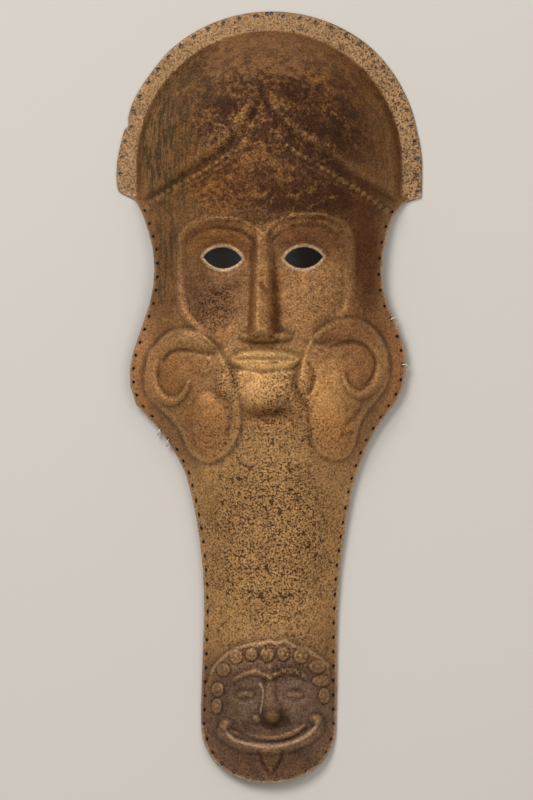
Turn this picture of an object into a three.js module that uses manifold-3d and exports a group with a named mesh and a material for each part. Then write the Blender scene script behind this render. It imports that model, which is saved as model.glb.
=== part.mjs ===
// Horse head armour: a chamfron of one hammered bronze sheet that covers a horse's face, poll to nose.
// A half-round helmet crown with a flat flange stands over an embossed warrior's face, whose cheek
// guards are ram's heads, and a gorgon's head is embossed on the round lower end. The rim is pierced
// all round for sewing on a lining, the eyes are cut through, and four small wire rings are left in
// the rim holes.
// Millimetres. X runs across the plate, Y up it to the poll, Z out of its face. The flange's back is at Z 0.
import * as THREE from "three";
import { mergeVertices } from "three/addons/utils/BufferGeometryUtils.js";
import Module from "manifold-3d";

// Driving dimensions
const plateLength = 460;
const sheetThickness = 1.5;
const flangeRadius = 91;
const flangeWidth = 12;
const endHalfWidth = 40.3;
const endRise = 35;
const holeRadius = 0.85;
const ringHoleRadius = 1.2;
const ringRadius = 2.75;
const ringWireRadius = 0.28;

// Worked out from them
const domeRadius = flangeRadius - flangeWidth;
const domeCentreY = plateLength / 2 - flangeRadius;
const endCentreY = -plateLength / 2 + endRise;
const endRoundness = 2.15;
const flangeCornerY = 121;
const faceMiddleX = -2.5;
const gorgonMiddleX = 0.5;

// Stations up the plate: half widths of the rim to the left and right, heights of the sheet's middle
// line and of its rim above the flange, and the power of the arch between them.
const stations = [
  { y: endCentreY, left: 40.4, right: 40.2, crown: 14.5, rim: -0.1, arch: 2.2 },
  { y: -165, left: 39.9, right: 40.3, crown: 18.5, rim: 0.6, arch: 2.3 },
  { y: -125, left: 38.7, right: 41.0, crown: 22, rim: 1.8, arch: 2.3 },
  { y: -96, left: 40.2, right: 42.8, crown: 24.5, rim: 2.8, arch: 2.3 },
  { y: -69, left: 44.0, right: 46.8, crown: 27.5, rim: 3.6, arch: 2.3 },
  { y: -46, left: 49.5, right: 51.9, crown: 31, rim: 4.2, arch: 2.4 },
  { y: -31, left: 57.5, right: 57.0, crown: 33.5, rim: 4.6, arch: 2.4 },
  { y: -18, left: 66.6, right: 64.2, crown: 35.5, rim: 5, arch: 2.5 },
  { y: -5, left: 78.6, right: 74.4, crown: 37, rim: 5.2, arch: 2.5 },
  { y: 5, left: 82.2, right: 79.4, crown: 37.8, rim: 5.4, arch: 2.5 },
  { y: 17, left: 82.8, right: 81.1, crown: 38.4, rim: 5.6, arch: 2.5 },
  { y: 30, left: 80.0, right: 80.4, crown: 38.8, rim: 6, arch: 2.5 },
  { y: 46, left: 74.2, right: 74.0, crown: 39.2, rim: 6.8, arch: 2.5 },
  { y: 60, left: 69.8, right: 68.8, crown: 39.5, rim: 7.6, arch: 2.5 },
  { y: 73, left: 68.6, right: 67.1, crown: 40, rim: 8, arch: 2.5 },
  { y: 88, left: 69.9, right: 68.4, crown: 41, rim: 7.4, arch: 2.5 },
  { y: 100, left: 73.0, right: 71.1, crown: 42, rim: 5.8, arch: 2.5 },
  { y: 112, left: 77.0, right: 77.2, crown: 43, rim: 3, arch: 2.6 },
  { y: 117, left: 81.0, right: 82.0, crown: 43.6, rim: 1.2, arch: 2.6 },
  { y: flangeCornerY, left: 90.2, right: 90.6, crown: 44, rim: 0, arch: 2.6 },
  { y: domeCentreY, left: flangeRadius, right: flangeRadius, crown: 45, rim: 0, arch: 2.6 },
];
const endCrown = 7;

// How far the hammered flange strays outward from a true round, left and right. Its left edge has a nick.
const strays = [
  { y: 130, left: 0, right: 0 },
  { y: 147, left: -1.4, right: -0.5 },
  { y: 157, left: -2.2, right: -1.1 },
  { y: 162, left: -4.1, right: -1 },
  { y: 167, left: -2.6, right: -0.8 },
  { y: 182, left: -2.8, right: -0.2 },
  { y: 198, left: -3.2, right: 0.8 },
  { y: 210, left: -2, right: 1.9 },
  { y: 222, left: -1.2, right: 1.8 },
  { y: 229, left: 0, right: 2.2 },
];

// Rows of the sheet's grid, zone by zone up the plate; the two round ends are stepped by angle.
const rowZones = [
  { from: endCentreY, to: -143, rows: 14 },
  { from: -143, to: -40, rows: 5 },
  { from: -40, to: 48, rows: 20 },
  { from: 48, to: 110, rows: 11 },
  { from: 110, to: flangeCornerY, rows: 4 },
  { from: flangeCornerY, to: domeCentreY, rows: 3 },
];
const endSteps = 5;
const domeSteps = 8;
const topSteps = 3;
const columns = 26;
const edgeColumns = 2;
const edgeShare = 0.82;
const endChord = 5;
const crownChord = 8;

// Raised welts: paths on the plate with the half width and height of the round welt. A mirrored welt is made
// again to the left of its middle line, lower by its drop.
const welts = [
  { name: "brow", half: 4.2, high: 2.2, middle: faceMiddleX, drop: 1,
    path: [[-2.5, 97], [7, 102.5], [16, 105.5], [25, 106.8], [34, 105.5], [41, 101.5], [45, 97]] },
  { name: "face opening", half: 4.2, high: 2, middle: faceMiddleX, drop: 1,
    path: [[45, 97], [48.3, 87], [48.4, 74], [47, 62], [43.5, 51], [37, 43], [30, 38]] },
  { name: "bead row", half: 3.8, high: 1.6, middle: faceMiddleX, drop: 0,
    path: [[-2.5, 163], [6, 155], [16, 145.5], [28, 137.5], [43, 128], [57, 120], [68, 111.5]] },
  { name: "ram's horn", half: 6.6, high: 4, middle: faceMiddleX, drop: 5,
    path: [[33, 34], [40, 39.5], [49, 39.5], [58, 36], [64.5, 28], [66, 18], [62.5, 8], [55, 3.5],
      [48.5, 6], [45, 12]] },
  { name: "guard's lower edge", half: 4, high: 2.2, middle: faceMiddleX, drop: 3,
    path: [[68, 4], [60, -7], [53.5, -18], [50.5, -28], [45, -35], [36, -36.5], [29, -32]] },
  { name: "upper lip", half: 4.4, high: 3.2, path: [[-20, 25], [-12, 25.5], [6, 25.5], [14, 25]] },
  { name: "lower lip", half: 4.4, high: 3.2, path: [[-19, 19], [-12, 18.6], [6, 18.6], [13, 19]] },
  { name: "gorgon's curls", half: 4.4, high: 2.2,
    path: [[-31, -187], [-30.5, -173], [-27, -162], [-19.5, -154.5], [-11, -152], [-1, -151.5], [8, -152],
      [18.5, -154], [28, -160], [31.5, -169], [33, -180]] },
  { name: "gorgon's brow", half: 3.6, high: 2, middle: gorgonMiddleX, drop: 0,
    path: [[1.5, -167], [8, -164], [14.5, -164], [21, -167]] },
  { name: "gorgon's mouth", half: 4.2, high: 2.8,
    path: [[-24.5, -195], [-28, -199], [-24, -204.5], [-14, -208], [-4, -209.2], [7, -208.7], [17, -206.3],
      [26, -201.5], [30, -196], [28, -192]] },
  { name: "gorgon's nose", half: 3.6, high: 2.6, path: [[1, -168], [1.5, -184]] },
  { name: "gorgon's tongue", half: 4.2, high: 2.4, path: [[1, -208], [1, -217]] },
];

// Rounded bosses: centre, radii across and up the plate, and height.
const bosses = [
  { name: "chin", x: -2.5, y: 1, wide: 17, tall: 17, high: 6 },
  { name: "ram's face", x: 32, y: 13, wide: 13, tall: 23, high: 3, middle: faceMiddleX, drop: 4 },
  { name: "ram's muzzle", x: 37, y: -17, wide: 13.5, tall: 21, high: 4.5, middle: faceMiddleX, drop: 1 },
  { name: "ram's ear", x: 21.5, y: 8.5, wide: 4.6, tall: 9.5, high: 2.4, middle: faceMiddleX, drop: 1 },
  { name: "nose wing", x: 8, y: 37.5, wide: 6, tall: 5, high: 5.5, middle: faceMiddleX, drop: 0 },
  { name: "gorgon's face", x: gorgonMiddleX, y: -181, wide: 36, tall: 36, high: 2.4 },
  { name: "gorgon's nose tip", x: 2, y: -191, wide: 10, tall: 7.5, high: 4 },
  { name: "gorgon's eye", x: 15.5, y: -176.8, wide: 5.4, tall: 3, high: 1.4, middle: gorgonMiddleX, drop: 0 },
];

// The warrior's nose, from below its tip to between the brows.
const noseStations = [
  { y: 30.5, half: 8, high: 0 },
  { y: 34, half: 9.5, high: 7 },
  { y: 38.5, half: 10, high: 12 },
  { y: 46, half: 9, high: 11.8 },
  { y: 60, half: 8.2, high: 9.6 },
  { y: 76, half: 7.4, high: 7 },
  { y: 90, half: 7, high: 4.4 },
  { y: 100, half: 6, high: 1.6 },
  { y: 108, half: 5, high: 0 },
];

// The helmet's lower edge, an ogee that rises to a point over the forehead. The sheet above it stands higher.
const helmetEdge = [[-2.5, 189], [1, 177], [5, 166.5], [11, 158], [19, 150], [29, 142.5], [40, 136.5],
  [50, 131.5], [60, 126.5], [70, 119.5], [80, 113]];
const helmetStep = 3;
const helmetStepWidth = 6;

// The eyes: lenses of two arcs, cut through.
const eyes = [
  { x: -27.6, y: 82.3, tilt: -3.5 },
  { x: 20.3, y: 82.4, tilt: 3 },
];
const eyeHalfLength = 11.5;
const eyeHalfHeight = 6.2;
const eyeArcSteps = 7;

// Holes for sewing on the lining: one run round the flange, runs down each side and one round the lower end.
const flangeHoles = 33;
const flangeHoleInset = 3.2;
const rimHoleInset = 2.1;
const endHoleSteps = 13;
const rimHoleRuns = [
  { side: -1, top: 111, bottom: -12, steps: 16, skip: 0 },
  { side: -1, top: -12, bottom: -53, steps: 6, skip: 1 },
  { side: -1, top: -53, bottom: endCentreY, steps: 17, skip: 1 },
  { side: 1, top: 111, bottom: 45, steps: 7, skip: 0 },
  { side: 1, top: 45, bottom: 10, steps: 4, skip: 1 },
  { side: 1, top: 10, bottom: -57, steps: 9, skip: 1 },
  { side: 1, top: -57, bottom: endCentreY, steps: 16, skip: 1 },
];

// Wire rings in rim holes, named by where they hang: the hole's height, the ring's swing down the rim from
// hanging straight out, and how far it leans over to face out of the plate. The rim runs through each ring.
const wireRings = [
  { name: "wire_ring_right_upper", y: 45, side: 1, swing: 30, lean: 38 },
  { name: "wire_ring_right_lower", y: 19.5, side: 1, swing: 34, lean: 34 },
  { name: "wire_ring_left_upper", y: -18, side: -1, swing: 20, lean: -15 },
  { name: "wire_ring_left_lower", y: -26, side: -1, swing: 30, lean: -15 },
];

const { lerp, clamp, smoothstep, degToRad } = THREE.MathUtils;
const bronze = new THREE.MeshStandardMaterial({ color: 0x8a6a3f, roughness: 0.5, metalness: 0.8 });
const wire = new THREE.MeshStandardMaterial({ color: 0xb9b4a6, roughness: 0.35, metalness: 0.9 });

// A smooth curve through a table's rows: returns the named columns' values at a height y.
function interpolator(table, names) {
  const ys = table.map((row) => row.y);
  const values = table.flatMap((row) => names.map((name) => row[name]));
  const curve = new THREE.CubicInterpolant(ys, values, names.length);
  return (y) => {
    const found = curve.evaluate(clamp(y, ys[0], ys.at(-1)));
    return Object.fromEntries(names.map((name, i) => [name, found[i]]));
  };
}

const sectionAt = interpolator(stations, ["left", "right", "crown", "rim", "arch"]);
const strayAt = interpolator(strays, ["left", "right"]);
const noseAt = interpolator(noseStations, ["half", "high"]);

// The rim's distance from the Y axis to the left and right at a height y.
function rimAt(y) {
  if (y < endCentreY) {
    const fall = Math.min(1, (endCentreY - y) / endRise);
    const half = endHalfWidth * (1 - fall ** endRoundness) ** (1 / endRoundness);
    return { left: half, right: half };
  }
  if (y <= flangeCornerY) return sectionAt(y);
  const stray = strayAt(y);
  const half = Math.sqrt(Math.max(0, flangeRadius ** 2 - Math.max(0, y - domeCentreY) ** 2));
  return { left: half + stray.left, right: half + stray.right };
}

// Height of the sheet's front before it is embossed: an arch across the plate that turns into a dome.
function plainHeight(x, y) {
  const section = sectionAt(y);
  const sideWidth = Math.min(x < 0 ? section.left : section.right, domeRadius + 4);
  const halfWidth = lerp(sideWidth, domeRadius, smoothstep(y, 112, flangeCornerY));
  const out = Math.min(1, Math.hypot(x, Math.max(0, y - domeCentreY)) / halfWidth);
  const endFall = smoothstep(-y, -endCentreY, plateLength / 2 + 6);
  const crown = lerp(section.crown, endCrown, endFall);
  const rim = y > flangeCornerY ? 0 : section.rim;
  return sheetThickness + rim + (crown - rim) * (1 - out ** section.arch);
}

// Distance from a point to a smooth path, and a round section: 1 at its middle, 0 at its edge.
function pathOf(points) {
  const curve = new THREE.SplineCurve(points.map(([x, y]) => new THREE.Vector2(x, y)));
  return curve.getPoints(points.length * 4);
}
function distanceTo(path, x, y) {
  let nearest = Infinity;
  for (let i = 1; i < path.length; i++) {
    const [a, b] = [path[i - 1], path[i]];
    const along = ((x - a.x) * (b.x - a.x) + (y - a.y) * (b.y - a.y)) / a.distanceToSquared(b);
    const t = clamp(along, 0, 1);
    nearest = Math.min(nearest, Math.hypot(x - a.x - t * (b.x - a.x), y - a.y - t * (b.y - a.y)));
  }
  return nearest;
}
const roundSection = (t) => (t < 1 ? (1 - t * t) ** 1.5 : 0);

// Each mirrored feature stands for two.
const mirrored = (feature) => (feature.middle === undefined
  ? [{ flip: 1, ...feature }]
  : [{ flip: 1, ...feature }, { flip: -1, ...feature }]);
const seenBy = (feature, x, y) => (feature.flip > 0 ? [x, y] : [2 * feature.middle - x, y + feature.drop]);
const weltList = welts.flatMap(mirrored).map((welt) => ({ ...welt, line: pathOf(welt.path) }));
const bossList = bosses.flatMap(mirrored);
const edgeLine = pathOf(helmetEdge);

function helmetRise(x, y) {
  const side = Math.abs(x - faceMiddleX) + faceMiddleX;
  const next = edgeLine.findIndex((point) => point.x > side);
  const above = next < 1 ? y > edgeLine[0].y : y > THREE.MathUtils.mapLinear(
    side, edgeLine[next - 1].x, edgeLine[next].x, edgeLine[next - 1].y, edgeLine[next].y);
  if (!above) return 0;
  const insideDome = smoothstep(domeRadius - Math.hypot(x, Math.max(0, y - domeCentreY)), 0, 14);
  return helmetStep * insideDome * smoothstep(distanceTo(edgeLine, side, y), 0, helmetStepWidth);
}

function noseRise(x, y) {
  if (y < noseStations[0].y || y > noseStations.at(-1).y) return 0;
  const { half, high } = noseAt(y);
  return high * roundSection(Math.abs(x - faceMiddleX - 0.5) / half);
}

// Height of everything embossed at a point.
function relief(x, y) {
  let high = helmetRise(x, y) + noseRise(x, y);
  for (const welt of weltList) {
    const [u, v] = seenBy(welt, x, y);
    high += welt.high * roundSection(distanceTo(welt.line, u, v) / welt.half);
  }
  for (const boss of bossList) {
    const [u, v] = seenBy(boss, x, y);
    high += boss.high * roundSection(Math.hypot((u - boss.x) / boss.wide, (v - boss.y) / boss.tall));
  }
  return high;
}

// The sheet's normal before embossing, by which its back lies behind its front.
function plainNormal(x, y) {
  const step = 0.5;
  const slopeX = (plainHeight(x + step, y) - plainHeight(x - step, y)) / (2 * step);
  const slopeY = (plainHeight(x, y + step) - plainHeight(x, y - step)) / (2 * step);
  return new THREE.Vector3(-slopeX, -slopeY, 1).normalize();
}
const frontPoint = (x, y) => new THREE.Vector3(x, y, plainHeight(x, y) + relief(x, y));
const holeMiddle = (point) => frontPoint(point.x, point.y)
  .addScaledVector(plainNormal(point.x, point.y), -sheetThickness / 2);

// Heights of the grid's rows, from the lower end to the crown. One row touches the top of the dome's edge.
function rowHeights() {
  const lastEnd = Math.acos(endChord / endHalfWidth);
  const domeTop = Math.asin(domeRadius / flangeRadius);
  const lastCrown = Math.acos(crownChord / flangeRadius);
  const heights = [];
  for (let i = endSteps; i > 0; i--) heights.push(endCentreY - endRise * Math.sin((lastEnd * i) / endSteps));
  for (const zone of rowZones) {
    for (let i = 0; i < zone.rows; i++) heights.push(lerp(zone.from, zone.to, i / zone.rows));
  }
  const crownRow = (angle) => heights.push(domeCentreY + flangeRadius * Math.sin(angle));
  for (let i = 0; i < domeSteps; i++) crownRow((domeTop * i) / domeSteps);
  for (let i = 0; i <= topSteps; i++) crownRow(lerp(domeTop, lastCrown, i / topSteps));
  return heights;
}

// The grid's middle column follows the noses of both heads, and an outer column on each side the dome's edge.
const middleColumn = (y) => lerp(gorgonMiddleX, faceMiddleX, smoothstep(y, -140, 10));
function domeEdgeAt(y, rim) {
  if (y < flangeCornerY) {
    return rim * lerp(edgeShare, domeRadius / flangeRadius, smoothstep(y, 100, flangeCornerY));
  }
  const up = Math.max(0, y - domeCentreY);
  return Math.max(Math.sqrt(Math.max(0, domeRadius ** 2 - up ** 2)), 0.35 * rim);
}

// The unpierced sheet: a thin box whose two broad faces are gridded, with every vertex moved onto the sheet.
function sheetGeometry() {
  const heights = rowHeights();
  const rows = heights.length - 1;
  const edgeFrom = 1 - (2 * edgeColumns) / columns;
  const box = new THREE.BoxGeometry(2, 2, 2, columns, rows, 1);
  const position = box.getAttribute("position");
  for (let i = 0; i < position.count; i++) {
    const y = heights[Math.round(((position.getY(i) + 1) / 2) * rows)];
    const side = Math.sign(position.getX(i));
    const out = Math.abs(position.getX(i));
    const rim = side < 0 ? rimAt(y).left : rimAt(y).right;
    const edge = domeEdgeAt(y, rim);
    const x = out <= edgeFrom
      ? lerp(middleColumn(y), side * edge, out / edgeFrom)
      : side * lerp(edge, rim, (out - edgeFrom) / (1 - edgeFrom));
    const point = frontPoint(x, y);
    if (position.getZ(i) < 0) point.addScaledVector(plainNormal(x, y), -sheetThickness);
    position.setXYZ(i, point.x, point.y, point.z);
  }
  return box;
}

// Evenly spaced points along a smooth line, both ends included.
function evenlyAlong(line, steps) {
  const curve = new THREE.CatmullRomCurve3(line, false, "centripetal");
  curve.arcLengthDivisions = 2000;
  return curve.getSpacedPoints(steps);
}
function flangeHolePoints() {
  const radius = flangeRadius - flangeHoleInset;
  const line = [new THREE.Vector3(-radius - 0.2, domeCentreY - 7.4, 0)];
  for (let i = 0; i <= 60; i++) {
    const angle = Math.PI * (1 - i / 60);
    const y = domeCentreY + radius * Math.sin(angle);
    const stray = strayAt(y);
    const aside = Math.cos(angle) * (Math.cos(angle) < 0 ? -stray.left : stray.right);
    line.push(new THREE.Vector3(radius * Math.cos(angle) + aside, y, 0));
  }
  line.push(new THREE.Vector3(radius + 0.2, flangeCornerY + 2.5, 0));
  return evenlyAlong(line, flangeHoles - 1);
}
function sideHolePoints(run) {
  const line = [];
  for (let i = 0; i <= 40; i++) {
    const y = lerp(run.top, run.bottom, i / 40);
    const [here, below] = [rimAt(y), rimAt(y - 1)].map((rim) => (run.side < 0 ? rim.left : rim.right));
    const slant = Math.atan(here - below);
    const x = run.side * (here - rimHoleInset * Math.cos(slant));
    line.push(new THREE.Vector3(x, y - rimHoleInset * Math.sin(slant), 0));
  }
  return evenlyAlong(line, run.steps).slice(run.skip);
}
function endHolePoints() {
  const line = [];
  for (let i = 0; i <= 24; i++) {
    const angle = Math.PI * (1 + i / 24);
    const rounded = (v) => Math.sign(v) * Math.abs(v) ** (2 / endRoundness);
    const x = rounded(Math.cos(angle)) * (endHalfWidth - rimHoleInset);
    const y = endCentreY + rounded(Math.sin(angle)) * (endRise - rimHoleInset);
    line.push(new THREE.Vector3(x, y, 0));
  }
  return evenlyAlong(line, endHoleSteps).slice(1, -1);
}

const wasm = await Module();
wasm.setup();

function solidOf(geometry) {
  const bare = geometry.clone();
  bare.deleteAttribute("normal");
  bare.deleteAttribute("uv");
  const merged = mergeVertices(bare, 1e-4);
  return new wasm.Manifold(new wasm.Mesh({
    numProp: 3,
    vertProperties: new Float32Array(merged.attributes.position.array),
    triVerts: new Uint32Array(merged.index.array),
  }));
}
function geometryOf(solid) {
  const mesh = solid.getMesh();
  const geometry = new THREE.BufferGeometry();
  geometry.setAttribute("position", new THREE.BufferAttribute(new Float32Array(mesh.vertProperties), 3));
  geometry.setIndex(new THREE.BufferAttribute(new Uint32Array(mesh.triVerts), 1));
  const flat = geometry.toNonIndexed();
  flat.computeVertexNormals();
  return flat;
}

// A four-sided punch through the sheet at a rim hole, along a direction.
function punch(point, radius, direction, length) {
  const geometry = new THREE.CylinderGeometry(radius, radius, length, 4);
  geometry.applyQuaternion(new THREE.Quaternion().setFromUnitVectors(new THREE.Vector3(0, 1, 0), direction));
  const middle = holeMiddle(point);
  geometry.translate(middle.x, middle.y, middle.z);
  return solidOf(geometry);
}

function eyePunch(eye) {
  const arcRadius = (eyeHalfLength ** 2 + eyeHalfHeight ** 2) / (2 * eyeHalfHeight);
  const spread = Math.asin(eyeHalfLength / arcRadius);
  const drop = arcRadius - eyeHalfHeight;
  const outline = new THREE.Shape();
  outline.absarc(0, -drop, arcRadius, Math.PI / 2 - spread, Math.PI / 2 + spread, false);
  outline.absarc(0, drop, arcRadius, -Math.PI / 2 - spread, -Math.PI / 2 + spread, false);
  const cut = { depth: 100, bevelEnabled: false, curveSegments: eyeArcSteps };
  const geometry = new THREE.ExtrudeGeometry(outline, cut);
  geometry.rotateZ(degToRad(eye.tilt));
  geometry.translate(eye.x, eye.y, -10);
  return solidOf(geometry);
}

// Where a ring goes: its centre, the way its wire runs through the sheet, and its axes.
function ringPlace(ring, holes) {
  const onSide = holes.filter((point) => Math.sign(point.x) === ring.side);
  const [hole] = onSide.sort((a, b) => Math.abs(a.y - ring.y) - Math.abs(b.y - ring.y));
  const normal = plainNormal(hole.x, hole.y);
  const [above, below] = [rimAt(hole.y + 1), rimAt(hole.y - 1)];
  const slant = (ring.side < 0 ? below.left - above.left : above.right - below.right) / 2;
  const outward = new THREE.Vector3(slant, 1, 0).cross(normal).multiplyScalar(ring.side).normalize();
  const swing = degToRad(ring.swing);
  const toCentre = outward.clone().applyAxisAngle(normal, -ring.side * swing);
  const through = normal.clone().applyAxisAngle(toCentre, -ring.side * degToRad(ring.lean));
  const centre = holeMiddle(hole).addScaledVector(toCentre, ringRadius);
  const basis = new THREE.Matrix4().makeBasis(toCentre, through, toCentre.clone().cross(through));
  return { hole, through, centre, basis };
}

const rimPoints = [...rimHoleRuns.flatMap(sideHolePoints), ...endHolePoints()];
const ringPlaces = wireRings.map((ring) => ringPlace(ring, rimPoints));
const ringless = rimPoints.filter((point) => ringPlaces.every((place) => place.hole !== point));
const plainHoles = [...flangeHolePoints(), ...ringless];
const upright = new THREE.Vector3(0, 0, 1);

let sheet = solidOf(sheetGeometry());
for (const eye of eyes) sheet = sheet.subtract(eyePunch(eye));
for (const hole of plainHoles) sheet = sheet.subtract(punch(hole, holeRadius, upright, 16));
for (const place of ringPlaces) sheet = sheet.subtract(punch(place.hole, ringHoleRadius, place.through, 6));

const chamfron = new THREE.Group();
const plate = new THREE.Mesh(geometryOf(sheet), bronze);
plate.name = "embossed_sheet";
chamfron.add(plate);

wireRings.forEach((ring, i) => {
  const loop = new THREE.Mesh(new THREE.TorusGeometry(ringRadius, ringWireRadius, 5, 12), wire);
  loop.name = ring.name;
  loop.setRotationFromMatrix(ringPlaces[i].basis);
  loop.position.copy(ringPlaces[i].centre);
  chamfron.add(loop);
});

export default chamfron;
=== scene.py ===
import bpy
import numpy as np
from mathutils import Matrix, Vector


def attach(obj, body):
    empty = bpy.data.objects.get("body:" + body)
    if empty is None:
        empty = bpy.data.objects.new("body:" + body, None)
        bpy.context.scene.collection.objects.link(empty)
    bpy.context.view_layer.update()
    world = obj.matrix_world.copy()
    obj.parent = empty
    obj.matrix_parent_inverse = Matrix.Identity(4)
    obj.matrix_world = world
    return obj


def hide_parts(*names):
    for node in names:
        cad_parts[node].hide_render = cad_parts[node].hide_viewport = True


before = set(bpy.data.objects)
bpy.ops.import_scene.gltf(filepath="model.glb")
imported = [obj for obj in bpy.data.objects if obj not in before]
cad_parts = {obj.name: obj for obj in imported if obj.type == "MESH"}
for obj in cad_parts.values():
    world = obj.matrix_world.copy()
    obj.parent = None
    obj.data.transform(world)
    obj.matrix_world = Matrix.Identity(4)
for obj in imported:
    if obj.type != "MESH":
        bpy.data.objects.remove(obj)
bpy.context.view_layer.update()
print("frame loaded:", sorted(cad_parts))

# Shapes are worked out in millimetres (X across the plate, Y up it, Z out of its face) and made metres last.
millimetre = 0.001
draw = np.random.default_rng(7)

plate = {
    "thickness": 1.5,
    "domeRadius": 79.0,
    "flangeRadius": 91.0,
    "domeY": 139.0,
    "endY": -195.0,
    "endRise": 34.7,
    "endRoundness": 2.15,
    "endCrown": 7.0,
    "roundedEdge": 0.4,
    # cells across each half, inside and outside the dome's edge, and cells up: the lower end, the body's
    # zones (from, to, cells), the dome and the flange
    "innerColumns": 64,
    "outerColumns": 12,
    "endCells": 40,
    "zones": [(-195, -143, 66), (-143, -45, 62), (-45, 48, 104), (48, 108, 68), (108, 139, 44)],
    "domeCells": 78,
    "flangeCells": 10,
}
# Heights up the plate: crown, rim and power of the arch between them
sections = np.array([
    (-195, 14.5, 0.0, 2.2), (-165, 18.5, 0.6, 2.3), (-125, 22, 1.8, 2.3), (-96, 24.5, 2.8, 2.3),
    (-69, 27.5, 3.6, 2.3), (-46, 31, 4.2, 2.4), (-31, 33.5, 4.6, 2.4), (-18, 35.5, 5, 2.5),
    (-5, 37, 5.2, 2.5), (5, 37.8, 5.4, 2.5), (17, 38.4, 5.6, 2.5), (30, 38.8, 6, 2.5), (46, 39.2, 6.8, 2.5),
    (60, 39.5, 7.6, 2.5), (73, 40, 8, 2.5), (88, 41, 7.4, 2.5), (100, 42, 5.8, 2.5), (112, 43, 3, 2.6),
    (117, 43.6, 1.2, 2.6), (121, 44, 0, 2.6), (139, 45, 0, 2.6)])
# The rim up each side, left and right
leftRim = np.array([
    (-195, 40.5), (-185, 40.6), (-170, 40.1), (-150, 39.4), (-130, 38.7), (-115, 38.9), (-100, 39.8),
    (-85, 41.4), (-70, 43.8), (-58, 46.4), (-46, 49.6), (-36, 54.3), (-28, 59.2), (-18, 66.3), (-10, 74.0),
    (-6.5, 76.8), (-4.8, 79.3), (1, 80.9), (6, 82.6), (16, 83.0), (26, 81.2), (36, 77.8), (46, 74.4),
    (56, 71.0), (66, 69.0), (76, 68.3), (88, 69.2), (98, 71.8), (106, 74.4), (110, 76), (115, 78.5),
    (118, 80.5), (119.7, 84), (121.2, 88.3), (123, 90), (127, 90.7), (132, 91), (139, 90.6)])
rightRim = np.array([
    (-195, 40.0), (-185, 40.2), (-170, 40.4), (-150, 40.3), (-130, 40.6), (-115, 41.4), (-100, 42.4),
    (-85, 44.4), (-70, 46.8), (-58, 48.9), (-46, 52.0), (-36, 55.6), (-28, 58.8), (-18, 64.6), (-10, 70.2),
    (-2, 76.0), (6, 79.8), (16, 81.3), (26, 81.0), (36, 78.6), (46, 74.2), (56, 70.2), (66, 67.6),
    (76, 67.2), (88, 68.3), (98, 70.5), (106, 73.3), (110, 75.5), (115, 79.7), (117.2, 83), (118.8, 90.3),
    (121, 90.8), (130, 91), (139, 91)])
# Radius of the flange round the dome by angle, from the right over the top to the left
flangeRim = np.array([
    (0, 91), (6, 90.6), (12, 90.1), (20, 90.6), (28.5, 91), (36, 91.4), (42, 91.7), (50, 92.0), (57, 91.8),
    (64, 91.5), (72, 91.2), (80, 90.9), (90, 90.6), (100, 90.4), (112, 90.2), (122, 90), (132, 89.7),
    (138, 89.0), (142, 88.7), (148, 88.7), (154, 89.0), (159, 88.8), (162, 88.2), (164, 87.2),
    (165.2, 86.7), (166.6, 88.4), (171, 89.0), (175, 89.7), (180, 90.6)])


def smooth(low, high, value):
    # 0 below low, 1 above high and an even S between
    t = np.clip((value - low) / (high - low), 0, 1)
    return t * t * (3 - 2 * t)


def through(knots, values, at):
    # cubic through the knots; the tangent at each is the slope between its neighbours
    knots = np.asarray(knots, float)
    values = np.asarray(values, float)
    slopes = np.gradient(values, knots, axis=0)
    at = np.clip(at, knots[0], knots[-1])
    i = np.clip(np.searchsorted(knots, at, side="right") - 1, 0, len(knots) - 2)
    gap = knots[i + 1] - knots[i]
    t = (at - knots[i]) / gap
    if values.ndim > 1:
        gap = gap[..., None]
        t = t[..., None]
    start = (1 + 2 * t) * (1 - t) ** 2 * values[i] + t * (1 - t) ** 2 * gap * slopes[i]
    return start + t * t * (3 - 2 * t) * values[i + 1] + t * t * (t - 1) * gap * slopes[i + 1]


def rimAt(y, side):
    # distance of the rim from the middle line at a height, up to the dome's middle
    table = leftRim if side < 0 else rightRim
    return np.interp(y, table[:, 0], table[:, 1])


def plainHeight(x, y):
    # front of the sheet before embossing: an arch, rim plus rise times one minus the share out to a power,
    # that turns into a dome above the dome's middle
    row = through(sections[:, 0], sections[:, 1:], y)
    crown, rim, arch = row[..., 0], row[..., 1], row[..., 2]
    sideWidth = np.minimum(np.where(x < 0, rimAt(y, -1), rimAt(y, 1)), plate["domeRadius"] + 4)
    turn = smooth(112, 121, y)
    halfWidth = sideWidth * (1 - turn) + plate["domeRadius"] * turn
    out = np.minimum(1, np.hypot(x, np.maximum(0, y - plate["domeY"])) / halfWidth)
    fall = smooth(-plate["endY"], 236, -y)
    crown = crown * (1 - fall) + plate["endCrown"] * fall
    rim = np.where(y > 121, 0, np.maximum(rim, 0))
    return plate["thickness"] + rim + (crown - rim) * (1 - out ** arch)


def plainNormal(x, y):
    # direction out of the sheet before embossing, from its slopes over 1 mm
    slopeX = plainHeight(x + 0.5, y) - plainHeight(x - 0.5, y)
    slopeY = plainHeight(x, y + 0.5) - plainHeight(x, y - 0.5)
    normal = np.stack([-slopeX, -slopeY, np.ones(np.shape(x))], axis=-1)
    return normal / np.linalg.norm(normal, axis=-1, keepdims=True)


# Everything embossed is drawn on a raster of heights first.
cell = 0.4
halfWide = 93.2
halfTall = 232.0
columnsX = np.arange(-halfWide, halfWide + 0.1, cell)
rowsY = np.arange(-halfTall, halfTall + 0.1, cell)
cellsX, cellsY = np.meshgrid(columnsX, rowsY)
relief = np.zeros(cellsX.shape)


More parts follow.
